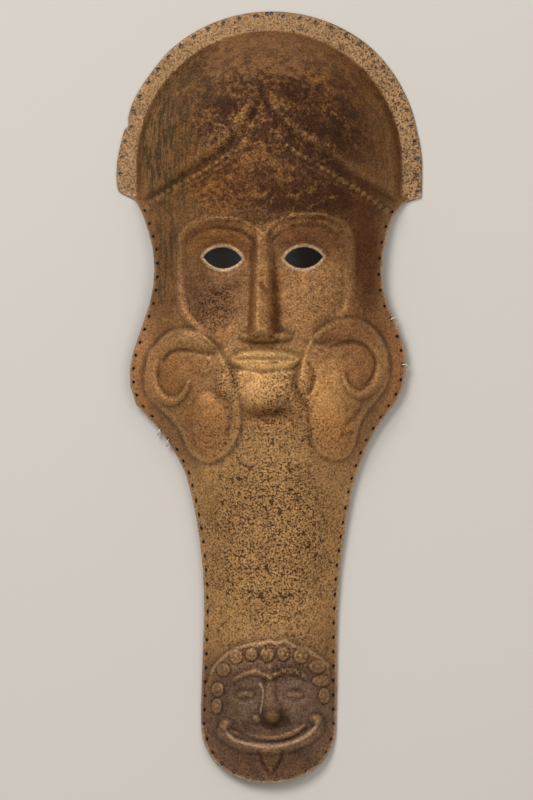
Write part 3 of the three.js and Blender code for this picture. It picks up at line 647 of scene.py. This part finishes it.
holes = {
    "radius": 0.74,
    "ringRadius": 1.0,
    "ringCircle": 2.75,
    "cutterHalf": 2.6,
    # side, height where the run starts and ends, number of steps, holes left out at its start, and inset
    "runs": [(-1, 229.45, 132.2, 15, 0, 2.2), (1, 229.45, 122, 16, 0, 2.6), (-1, 111, -12, 16, 0, 2.1),
             (-1, -12, -53, 6, 1, 2.1), (-1, -53, -195, 17, 1, 2.1), (1, 111, 45, 7, 0, 2.1),
             (1, 45, 10, 4, 1, 2.1), (1, 10, -57, 9, 1, 2.1), (1, -57, -195, 16, 1, 2.1),
             (0, 0, 0, 13, 1, 2.1)],
    "sides": 14,
}


def borderLine(side):
    # the plate's outline down one side, from the top to the lower end's corner
    degrees = np.linspace(90, 180 if side < 0 else 0, 60)
    rim = np.interp(degrees, flangeRim[:, 0], flangeRim[:, 1])
    angle = np.radians(degrees)
    top = np.column_stack([rim * np.cos(angle), plate["domeY"] + rim * np.sin(angle)])
    heights = np.arange(plate["domeY"] - 1, plate["endY"] - 0.5, -1.0)
    return np.vstack([top, np.column_stack([side * rimAt(heights, side), heights])])


def holePlaces():
    # holes evenly along each run, a set distance in from the outline
    places = []
    for side, start, end, steps, skip, inset in holes["runs"]:
        if side == 0:
            angle = np.pi * (1 + np.linspace(0, 1, 200))
            n = 2 / plate["endRoundness"]
            line = np.column_stack([
                np.sign(np.cos(angle)) * np.abs(np.cos(angle)) ** n * (40.2 - inset),
                plate["endY"] - np.abs(np.sin(angle)) ** n * (plate["endRise"] - inset)])
            stop = steps
        else:
            line = borderLine(side)
            slope = np.gradient(line, axis=0)
            slope /= np.linalg.norm(slope, axis=1, keepdims=True)
            aside = np.column_stack([slope[:, 1], -slope[:, 0]]) * side
            blunt = sum(np.roll(aside, shift, 0) for shift in (2, 1, -1, -2)) * 0.25
            line = line + inset * blunt
            line = line[(line[:, 1] <= start) & (line[:, 1] >= end)]
            stop = steps + 1
        run = np.concatenate([[0], np.cumsum(np.hypot(*np.diff(line, axis=0).T))])
        at = np.linspace(0, run[-1], steps + 1)[skip:stop]
        places.append(np.column_stack([np.interp(at, run, line[:, 0]), np.interp(at, run, line[:, 1])]))
    return np.vstack(places)


def rodMesh(middle, axis, radius, half):
    # a straight round cutter along an axis, half its length to each side of its middle
    first = np.cross(axis, (1.0, 0.02, 0))
    first /= np.linalg.norm(first)
    second = np.cross(axis, first)
    turns = np.linspace(0, 2 * np.pi, holes["sides"], endpoint=False)[:, None]
    circle = radius * (np.cos(turns) * first + np.sin(turns) * second)
    points = np.vstack([middle + circle - half * axis, middle + circle + half * axis])
    return points, prismFaces(holes["sides"])


def prismFaces(count):
    # faces of a prism: its walls, its bottom and its top
    here = np.arange(count)
    after = np.roll(here, -1)
    walls = np.stack([here, after, after + count, here + count], axis=-1).tolist()
    return walls + [here[::-1].tolist(), (here + count).tolist()]


def prismMesh(outline, low, high):
    # an outline raised between two heights, closed at both
    count = len(outline)
    points = np.vstack([np.column_stack([outline, np.full(count, low)]),
                        np.column_stack([outline, np.full(count, high)])])
    return points, prismFaces(count)


def joinedMesh(parts):
    # several meshes as one list of points and faces
    points, faces, start = [], [], 0
    for part, corners in parts:
        points.append(part)
        faces += [[start + corner for corner in face] for face in corners]
        start += len(part)
    return np.vstack(points), faces


def objectOf(name, points, faces):
    mesh = bpy.data.meshes.new(name)
    mesh.from_pydata((np.asarray(points) * millimetre).tolist(), [], faces)
    mesh.update()
    made = bpy.data.objects.new(name, mesh)
    bpy.context.scene.collection.objects.link(made)
    return made


ringNodes = {}
for name in sorted(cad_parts):
    if name.startswith("wire_ring"):
        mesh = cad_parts[name].data
        points = np.empty(len(mesh.vertices) * 3)
        mesh.vertices.foreach_get("co", points)
        points = np.unique(points.reshape(-1, 3).round(6), axis=0) / millimetre
        centre = points.mean(axis=0)
        axis = np.linalg.svd(points - centre)[2][2]
        ringNodes[name] = (centre, axis * np.sign(axis[2] + 1e-9))

points, faces = sheetMesh()
sheet = objectOf("embossedSheetFinished", points, faces)
print("sheet made:", len(points), "points,", len(faces), "faces, top", points[:, 2].max().round(2))

places = holePlaces()
axes = plainNormal(places[:, 0], places[:, 1])
heights = plainHeight(places[:, 0], places[:, 1]) + sample(relief, places[:, 0], places[:, 1])
middles = np.column_stack([places, heights]) - plate["thickness"] / 2 * axes
radii = np.full(len(places), holes["radius"])
for centre, axis in ringNodes.values():
    # the ring's own hole lies where its circle meets the sheet's middle, inside the rim
    first = np.cross(axis, (0, 0, 1.0))
    first /= np.linalg.norm(first)
    second = np.cross(axis, first)
    turns = np.linspace(0, 2 * np.pi, 720, endpoint=False)[:, None]
    wireLine = centre + holes["ringCircle"] * (np.cos(turns) * first + np.sin(turns) * second)
    x, y, z = wireLine.T
    surface = plainHeight(x, y) - plate["thickness"] / 2 / plainNormal(x, y)[:, 2]
    inside = np.where(x < 0, rimAt(y, -1), rimAt(y, 1)) - np.abs(x)
    k = np.argmin(np.abs(surface - z) + 9.0 * (inside < 1.2))
    along = np.roll(wireLine, -1, 0)[k] - wireLine[k]
    nearest = np.argmin(np.linalg.norm(middles - wireLine[k], axis=1))
    middles[nearest] = wireLine[k]
    axes[nearest] = along / np.linalg.norm(along)
    radii[nearest] = holes["ringRadius"]
cutterParts = [rodMesh(middle, axis, radius, holes["cutterHalf"])
               for middle, axis, radius in zip(middles, axes, radii)]
cutterParts += [prismMesh(lensOf(eye, 0), *face["eyeCut"]) for eye in face["eyes"]]
cutter = objectOf("openings", *joinedMesh(cutterParts))
cut = sheet.modifiers.new("openings", "BOOLEAN")
cut.object = cutter
cut.solver = "MANIFOLD"
cut.operation = "DIFFERENCE"
pierced = bpy.data.meshes.new_from_object(sheet.evaluated_get(bpy.context.evaluated_depsgraph_get()))
sheet.modifiers.clear()
sheet.data = pierced
bpy.data.objects.remove(cutter)
pierced.name = "embossedSheetFinished"
pierced.polygons.foreach_set("use_smooth", np.ones(len(pierced.polygons), bool))
pierced.set_sharp_from_angle(angle=np.radians(62))
corners = np.empty(len(pierced.polygons), np.int32)
pierced.polygons.foreach_get("loop_total", corners)
print("sheet pierced:", len(places), "holes,", int((corners - 2).sum()), "triangles")


def linear(colour):
    # from screen values 0 to 255 to light
    share = np.asarray(colour, float) / 255
    return np.where(share <= 0.04045, share / 12.92, ((share + 0.055) / 1.055) ** 2.4)


# Patina with painted shade and highlight: soft spots of colour (x, y, wide, tall, colour, strength, softness)
# laid over one another; a few spots stand partly for shade
patinaWithPaintedLight = {
    "base": (158, 114, 71),
    "spots": [
        (0, -85, 60, 70, (190, 144, 92), 1.0, 0.3),
        (-30, -95, 10, 45, (188, 143, 90), 0.7, 0.6),
        (0, 170, 90, 70, (124, 84, 50), 1.0, 0.4),
        (-35, 195, 34, 26, (132, 95, 60), 0.8, 0.6),
        (0, 208, 40, 14, (151, 108, 71), 0.8, 0.6),
        (62, 165, 22, 34, (129, 84, 45), 0.8, 0.7),
        (-66, 155, 12, 26, (137, 100, 62), 0.8, 0.6),
        (36, 155, 20, 26, (69, 38, 21), 0.9, 0.8),
        (-30, 167, 16, 10, (67, 36, 20), 0.8, 0.7),
        (-2, 168, 24, 18, (82, 45, 26), 0.7, 0.7),
        (-28, 128, 26, 13, (134, 85, 42), 0.9, 0.7),
        (2, 122, 26, 14, (89, 54, 31), 0.9, 0.7),
        # dark brown patina and painted shade on the right, away from the light
        (38, 116, 30, 12, (69, 38, 19), 0.9, 0.7),
        (-63, 80, 9, 46, (131, 91, 53), 0.9, 0.6),
        # dark brown patina and painted shade down the right side, away from the light
        (57, 86, 10, 40, (103, 58, 28), 1.0, 0.6),
        (-34, 64, 18, 22, (122, 82, 55), 0.9, 0.7),
        (27, 62, 20, 22, (177, 128, 80), 0.9, 0.6),
        (-5, 58, 5, 26, (141, 95, 50), 0.9, 0.5),
        # patina with painted shade on the nose's right plane
        (3, 55, 4, 24, (135, 84, 43), 0.8, 0.5),
        (-26, 92, 22, 14, (128, 80, 40), 0.8, 0.6),
        (22, 92, 22, 12, (109, 67, 38), 0.8, 0.6),
        (-2.5, 22, 24, 8, (197, 151, 93), 1.0, 0.5),
        (-3, 7, 20, 12, (212, 161, 103), 1.0, 0.5),
        # patina with painted shade under the chin
        (1, -11, 16, 6, (148, 102, 56), 0.9, 0.6),
        (-57, 14, 14, 15, (150, 103, 58), 0.9, 0.5),
        (-36, -16, 11, 20, (178, 123, 75), 1.0, 0.4),
        (50, 38, 20, 9, (144, 94, 58), 0.9, 0.6),
        (35, 0, 14, 20, (211, 155, 92), 0.9, 0.6),
        (38, -22, 12, 14, (201, 142, 83), 0.9, 0.6),
        (54, 18, 11, 13, (160, 108, 64), 0.9, 0.5),
        (-76, 14, 7, 34, (182, 129, 82), 0.8, 0.6),
        (76, 14, 7, 34, (173, 117, 74), 0.8, 0.6),
        (0, -190, 44, 42, (118, 89, 71), 1.0, 0.35),
        (-16, -186, 14, 16, (110, 86, 69), 0.8, 0.6),
        (17, -184, 14, 16, (141, 111, 91), 0.8, 0.6),
        (4, -191.6, 9, 6, (57, 37, 22), 1.0, 0.7),
        (0, -219, 34, 9, (112, 80, 59), 0.9, 0.6),
    ],
    "flange": (164, 128, 90),
    # colour of the painted shade and dirt in the hollows
    "hollow": (58, 36, 20),
    # colour of the ridges: rubbed wear with painted highlight
    "wornAndHighlight": (196, 152, 98),
    "back": (92, 70, 46),
    # colour of the painted shade in and round the sewing holes
    "paintedHoleShade": (30, 20, 12),
}
# Where patches, pits and streaks lie: (x, y, wide, tall, strength) of soft spots
patches = [(0, 165, 60, 40, 1.0), (0, 125, 50, 22, 0.9), (-5, 60, 60, 40, 0.35), (0, -85, 50, 60, 0.2),
           (0, -190, 40, 40, 0.25), (45, 180, 30, 30, 0.5), (-40, 190, 30, 26, 0.6)]
pits = [(0, -85, 42, 62, 1.0), (-33, 54, 14, 14, 0.9), (10, -5, 18, 22, 0.8), (0, 160, 50, 30, 0.7),
        (-24, 6, 9, 13, 0.8), (30, 60, 22, 20, 0.35), (0, 115, 50, 20, 0.5), (0, -140, 38, 20, 0.7),
        (10, -163, 14, 6, 0.8), (0, -22, 50, 14, 0.7), (88, 150, 14, 40, 0.5)]
streaks = [(-66, 155, 14, 40, 1.0), (-62, 84, 9, 34, 0.8), (-60, 128, 18, 18, 0.8), (57, 86, 9, 34, 0.5),
           (-52, 180, 22, 30, 0.6), (66, 165, 14, 40, 0.4)]


def spotShare(x, y, spot, softness):
    # 1 inside an ellipse, falling to 0 round it
    far = np.hypot((x - spot[0]) / spot[2], (y - spot[1]) / spot[3])
    return 1 - smooth(1 - softness, 1 + softness, far)


def paint(mesh):
    # colours and masks at each vertex, from its place on the plate
    count = len(mesh.vertices)
    place = np.empty(count * 3)
    mesh.vertices.foreach_get("co", place)
    x, y, z = place.reshape(-1, 3).T / millimetre
    colour = np.tile(linear(patinaWithPaintedLight["base"]), (count, 1))
    for spot in patinaWithPaintedLight["spots"]:
        share = (spotShare(x, y, spot, spot[6]) * spot[5])[:, None]
        colour = colour * (1 - share) + linear(spot[4]) * share
    radius = np.hypot(x, np.maximum(0, y - plate["domeY"]))
    flange = smooth(78.6, 80.2, radius) * smooth(116, 120, y)
    colour = colour * (1 - flange[:, None]) + linear(patinaWithPaintedLight["flange"]) * flange[:, None]
    front = plainHeight(x, y) + sample(relief, x, y)
    slopeX = plainHeight(x + 0.5, y) - plainHeight(x - 0.5, y)
    slopeY = plainHeight(x, y + 0.5) - plainHeight(x, y - 0.5)
    # how far below the front a vertex is, square to the sheet: past half the thickness it is the back
    depth = (front - z) / np.sqrt(1 + slopeX ** 2 + slopeY ** 2)
    back = smooth(0.75, 1.2, depth)
    # painted shade and dirt darken the hollows, wear and painted highlight lighten the ridges, both off the
    # flange
    hollow = np.clip(sample(hollows, x, y), 0, 1)
    ridge = np.clip(sample(ridges, x, y), 0, 1)
    hollow = (0.6 * hollow * (1 - flange))[:, None]
    ridge = (0.35 * ridge * (1 - flange))[:, None]
    colour = colour * (1 - ridge) + linear(patinaWithPaintedLight["wornAndHighlight"]) * ridge
    colour = colour * (1 - hollow) + linear(patinaWithPaintedLight["hollow"]) * hollow
    colour = colour * (1 - back[:, None]) + linear(patinaWithPaintedLight["back"]) * back[:, None]
    half = np.where(x < 0, rimAt(y, -1), rimAt(y, 1))
    # painted highlight along the rim: down the sides, more on the right, and round the lower end
    paintedEdgeHighlight = smooth(1.7, 0.4, half - np.abs(x)) * (y < 121) * (y > plate["endY"]) * (0.5 + 0.5 * (x > 0))
    n = plate["endRoundness"]
    endShare = (np.abs(x) / half) ** n + (np.maximum(0, plate["endY"] - y) / plate["endRise"]) ** n
    paintedEndHighlight = smooth(0.95, 0.985, endShare ** (1 / n)) * (y < plate["endY"])
    paintedEdgeHighlight = np.maximum(paintedEdgeHighlight, paintedEndHighlight)
    paintedEdgeHighlight = np.maximum(paintedEdgeHighlight, sample(paintedHighlightLines, x, y))
    # painted shade in and round the sewing holes: their walls and a ring round each are darkened
    nearest = np.full(count, 9.0)
    for middle, axis in zip(middles, axes):
        near = np.flatnonzero((np.abs(x - middle[0]) < 3.5) & (np.abs(y - middle[1]) < 3.5))
        away = np.column_stack([x, y, z])[near] - middle if len(near) else np.zeros((0, 3))
        far = np.linalg.norm(away - (away @ axis)[:, None] * axis, axis=1)
        nearest[near] = np.minimum(nearest[near], far)
    paintedHoleShade = smooth(1.35, 0.85, nearest)[:, None]
    colour = colour * (1 - paintedHoleShade) + linear(patinaWithPaintedLight["paintedHoleShade"]) * paintedHoleShade
    masks = []
    for spots in (patches, pits, streaks):
        mask = np.zeros(count)
        for spot in spots:
            mask = np.maximum(mask, spotShare(x, y, spot, 0.5) * spot[4])
        masks.append(mask * (1 - back) * (1 - flange))
    masks[1] = np.maximum(masks[1], flange * (0.35 + 0.35 * smooth(-20, 90, x)))
    # painted highlight of the rim and the relief's lines, kept off the back
    paintedHighlight = np.maximum(paintedEdgeHighlight * (1 - back), 0)
    # the third table holds painted shade and dirt in the hollows, wear with painted highlight on the ridges,
    # and painted highlight on the rim
    tables = {
        # the patina's colour with painted shade in the hollows and round the holes, and wear with painted
        # highlight on the ridges
        "patinaWithPaintedLight": np.column_stack([colour, np.ones(count)]),
        "marks": np.column_stack([*masks, np.ones(count)]),
        "shadeWearAndHighlight": np.column_stack([hollow[:, 0], ridge[:, 0], paintedHighlight, np.ones(count)]),
    }
    for name, table in tables.items():
        layer = mesh.attributes.new(name, "FLOAT_COLOR", "POINT")
        layer.data.foreach_set("color", table.astype(np.float32).ravel())


paint(pierced)
print("patina painted")


class Line:
    # one socket of a material; sums and products of it add Math nodes
    def __init__(self, maker, socket):
        self.maker = maker
        self.socket = socket

    def math(self, operation, first, second):
        return self.maker.node("ShaderNodeMath", {"operation": operation}, {0: first, 1: second})

    def __add__(self, other):
        return self.math("ADD", self, other)

    def __radd__(self, other):
        return self.math("ADD", other, self)

    def __sub__(self, other):
        return self.math("SUBTRACT", self, other)

    def __rsub__(self, other):
        return self.math("SUBTRACT", other, self)

    def __mul__(self, other):
        return self.math("MULTIPLY", self, other)

    def __rmul__(self, other):
        return self.math("MULTIPLY", other, self)


class Finish:
    # one material and the nodes in it
    def __init__(self, name):
        self.material = bpy.data.materials.new(name)
        self.material.use_nodes = True
        self.tree = self.material.node_tree
        self.tree.nodes.clear()

    def node(self, kind, settings, sockets, out=0):
        made = self.tree.nodes.new(kind)
        for name, value in settings.items():
            setattr(made, name, value)
        for name, value in sockets.items():
            if isinstance(value, Line):
                self.tree.links.new(value.socket, made.inputs[name])
            else:
                made.inputs[name].default_value = value
        return Line(self, made.outputs[out]) if len(made.outputs) else None

    def mix(self, share, a, b, how="MIX"):
        settings = {"data_type": "RGBA", "blend_type": how, "clamp_factor": True}
        return self.node("ShaderNodeMix", settings, {0: share, 6: a, 7: b}, 2)

    def noise(self, place, scale, detail, roughness=0.5, distortion=0.0):
        sockets = {"Vector": place, "Scale": scale, "Detail": detail, "Roughness": roughness,
                   "Distortion": distortion}
        return self.node("ShaderNodeTexNoise", {"noise_dimensions": "3D"}, sockets, "Fac")

    def other(self, line, name):
        # another output of the node that a line comes from
        return Line(self, line.socket.node.outputs[name])

    def between(self, value, low, high):
        # 0 at low, 1 at high, clamped
        sockets = {"Value": value, "From Min": low, "From Max": high, "To Min": 0.0, "To Max": 1.0}
        return self.node("ShaderNodeMapRange", {"clamp": True, "interpolation_type": "SMOOTHSTEP"}, sockets)

    def split(self, name):
        # the three channels of a painted attribute
        colour = self.node("ShaderNodeAttribute", {"attribute_name": name}, {}, "Color")
        parts = self.node("ShaderNodeSeparateColor", {}, {0: colour})
        return [Line(self, parts.socket.node.outputs[k]) for k in range(3)]

    def close(self, sockets):
        shader = self.node("ShaderNodeBsdfPrincipled", {}, sockets)
        self.node("ShaderNodeOutputMaterial", {}, {"Surface": shader})
        return self.material


def four(colour):
    return (*[float(part) for part in linear(colour)], 1.0)


bronzeLook = {
    "metallic": 0.5,
    "roughness": 0.48,
    "specular": 0.18,
    "darkPatch": (58, 31, 15),
    "goldPatch": (152, 108, 56),
    "pit": (54, 31, 14),
    "streak": (66, 56, 33),
    # colour of the painted highlight on the rim and the relief's lines
    "edge": (198, 168, 136),
}


def bronzeFinish():
    finish = Finish("agedBronze")
    place = finish.node("ShaderNodeTexCoord", {}, {}, "Object")
    # patina colour, with painted shade and highlight in it
    base = finish.node("ShaderNodeAttribute", {"attribute_name": "patinaWithPaintedLight"}, {}, "Color")
    patch, pit, streak = finish.split("marks")
    # painted shade and dirt of the hollows, wear and painted highlight of the ridges, painted highlight of
    # the rim
    hollow, ridge, edge = finish.split("shadeWearAndHighlight")
    # broad clouding, then ragged patches where the patina is broken
    cloud = finish.noise(place, 45.0, 5.0, 0.6)
    fine = finish.noise(place, 760.0, 4.0, 0.7)
    grain = finish.between(fine, 0.38, 0.62)
    mottle = finish.noise(place, 230.0, 5.0, 0.7)
    shade = (0.62 + 0.76 * cloud) * (0.68 + 0.6 * grain) * (0.66 + 0.68 * mottle)
    ragged = finish.noise(place, 290.0, 8.0, 0.74, 0.4)
    island = finish.noise(place, 95.0, 4.0, 0.6, 0.3)
    broken = ragged * 0.64 + island * 0.36
    dark = finish.between(broken, 0.495, 0.53) * patch
    gold = finish.between(broken, 0.462, 0.43) * patch
    colour = finish.mix(dark * 0.75, base, four(bronzeLook["darkPatch"]))
    colour = finish.mix(gold * 0.7, colour, four(bronzeLook["goldPatch"]))
    # streaks and scratches, most of them up and down the plate
    upright = finish.node("ShaderNodeMapping", {}, {"Vector": place, "Scale": (1.0, 0.12, 0.4)})
    lines = finish.noise(upright, 560.0, 5.0, 0.65)
    streaked = finish.between(lines, 0.48, 0.56) * streak * 0.75
    colour = finish.mix(streaked, colour, four(bronzeLook["streak"]))
    sloping = finish.node("ShaderNodeMapping", {}, {"Vector": place, "Rotation": (0.0, 0.0, 0.7),
                                                    "Scale": (0.12, 1.0, 0.4)})
    scratch = finish.between(finish.noise(sloping, 700.0, 3.0, 0.6), 0.6, 0.7)
    shade = shade * (1 - 0.22 * scratch)
    # small dark pits, denser where marked, and a few larger ones
    speck = finish.noise(place, 860.0, 2.5, 0.55)
    spot = finish.noise(place, 300.0, 3.0, 0.6)
    hole = finish.between(speck + 0.09 * pit, 0.61, 0.66)
    blot = finish.between(spot + 0.06 * pit, 0.64, 0.68)
    dots = finish.node("ShaderNodeTexVoronoi", {"feature": "F1"}, {"Vector": place, "Scale": 640.0})
    chance = finish.node("ShaderNodeSeparateColor", {}, {0: finish.other(dots, "Color")})
    dot = finish.between(finish.other(dots, "Distance") + 0.25 * fine, 0.42, 0.34) * finish.between(
        chance + 0.42 * pit, 0.84, 0.86)
    colour = finish.mix(dot * 0.75, colour, four(bronzeLook["pit"]))
    colour = finish.mix(hole * (0.35 + 0.5 * pit), colour, four(bronzeLook["pit"]))
    colour = finish.mix(blot * (0.3 + 0.5 * pit), colour, four(bronzeLook["pit"]))
    # painted highlight along the rim and the relief's lines
    colour = finish.mix(edge * 0.7, colour, four(bronzeLook["edge"]))
    grey = finish.node("ShaderNodeCombineColor", {}, {0: shade, 1: shade, 2: shade})
    colour = finish.mix(1.0, colour, grey, "MULTIPLY")
    rough = bronzeLook["roughness"] + 0.14 * hollow - 0.1 * ridge + 0.16 * (cloud - 0.5) + 0.1 * hole
    height = 0.45 * grain + 0.7 * ragged - 0.9 * hole - 0.8 * blot - 0.8 * dot - 0.2 * scratch
    normal = finish.node("ShaderNodeBump", {}, {"Height": height, "Strength": 0.4, "Distance": 0.0004})
    return finish.close({"Base Color": colour, "Metallic": bronzeLook["metallic"], "Roughness": rough,
                         "Specular IOR Level": bronzeLook["specular"], "Normal": normal})


wireLook = {
    "colour": (240, 232, 214),
    "dull": (196, 172, 138),
    "metallic": 0.2,
    "roughness": 0.3,
    "half": 0.38,
    "radius": 2.66,
}


def wireFinish():
    finish = Finish("paleWire")
    place = finish.node("ShaderNodeTexCoord", {}, {}, "Object")
    tone = finish.noise(place, 900.0, 2.0)
    colour = finish.mix(tone, four(wireLook["colour"]), four(wireLook["dull"]))
    return finish.close({"Base Color": colour, "Metallic": wireLook["metallic"],
                         "Roughness": wireLook["roughness"]})


bronze = bronzeFinish()
pierced.materials.clear()
pierced.materials.append(bronze)
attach(sheet, "root")
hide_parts("embossed_sheet")

wire = wireFinish()


def ringMesh(centre, axis):
    # a torus: a small circle carried round a larger one, a little out of true
    rounds, tube = 56, 10
    first = np.cross(axis, (0, 0, 1.0))
    first /= np.linalg.norm(first)
    second = np.cross(axis, first)
    turn = np.linspace(0, 2 * np.pi, rounds, endpoint=False)[:, None]
    small = np.linspace(0, 2 * np.pi, tube, endpoint=False)[None, :]
    half = wireLook["half"]
    out = wireLook["radius"] + 0.03 * np.sin(3 * turn) + half * np.cos(small)
    up = half * np.sin(small) + 0.04 * np.sin(2 * turn)
    points = (centre + out[..., None] * (np.cos(turn)[..., None] * first + np.sin(turn)[..., None] * second)
              + up[..., None] * axis)
    index = np.arange(rounds * tube).reshape(rounds, tube)
    nextRound, nextTube = np.roll(index, -1, 0), np.roll(index, -1, 1)
    both = np.roll(nextRound, -1, 1)
    faces = np.stack([index, nextRound, both, nextTube], axis=-1).reshape(-1, 4)
    return points.reshape(-1, 3), faces.tolist()


for name, (centre, axis) in ringNodes.items():
    points, faces = ringMesh(centre, axis)
    ring = objectOf(name + "_finished", points, faces)
    ring.data.polygons.foreach_set("use_smooth", np.ones(len(ring.data.polygons), bool))
    ring.data.materials.append(wire)
    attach(ring, "root")
    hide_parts(name)
print("wire rings made:", len(ringNodes))

# Floor, lights and camera
studio = {
    "floor": (214, 208, 200),
    "floorHalf": 1600,
    "floorZ": -0.1,
    "world": 0.3,
    "lens": 400.0,
    "frameTall": 0.4767,
    "aim": (-0.0016, -0.0018),
    # place, size and watts of each soft panel, all turned to the plate
    "panels": [((-0.9, 1.1, 1.9), 1.1, 34.0), ((1.1, 0.4, 1.8), 1.4, 9.0), ((0.1, -1.2, 1.8), 1.2, 3.0)],
}
floorFinish = Finish("paleFloor")
floorMaterial = floorFinish.close({"Base Color": four(studio["floor"]), "Roughness": 0.85})
floorCorners = [(side * studio["floorHalf"], up * studio["floorHalf"], studio["floorZ"])
                for side, up in ((-1, -1), (1, -1), (1, 1), (-1, 1))]
floor = objectOf("floor", floorCorners, [[0, 1, 2, 3]])
floor.data.materials.append(floorMaterial)

world = bpy.data.worlds.new("softRoom")
world.use_nodes = True
world.node_tree.nodes["Background"].inputs["Color"].default_value = (1.0, 0.97, 0.93, 1.0)
world.node_tree.nodes["Background"].inputs["Strength"].default_value = studio["world"]
bpy.context.scene.world = world
for number, (where, size, watts) in enumerate(studio["panels"]):
    lamp = bpy.data.lights.new(f"panel{number}", "AREA")
    lamp.shape = "SQUARE"
    lamp.size = size
    lamp.energy = watts
    holder = bpy.data.objects.new(f"panel{number}", lamp)
    holder.location = where
    holder.rotation_mode = "QUATERNION"
    holder.rotation_quaternion = (-Vector(where)).to_track_quat("-Z", "Y")
    bpy.context.scene.collection.objects.link(holder)

lens = bpy.data.cameras.new("overhead")
lens.lens = studio["lens"]
lens.sensor_fit = "VERTICAL"
lens.sensor_height = 36.0
camera = bpy.data.objects.new("overhead", lens)
camera.location = (*studio["aim"], studio["lens"] / 36.0 * studio["frameTall"])
bpy.context.scene.collection.objects.link(camera)
bpy.context.scene.camera = camera
bpy.context.scene.view_settings.view_transform = "Standard"
print("studio set")
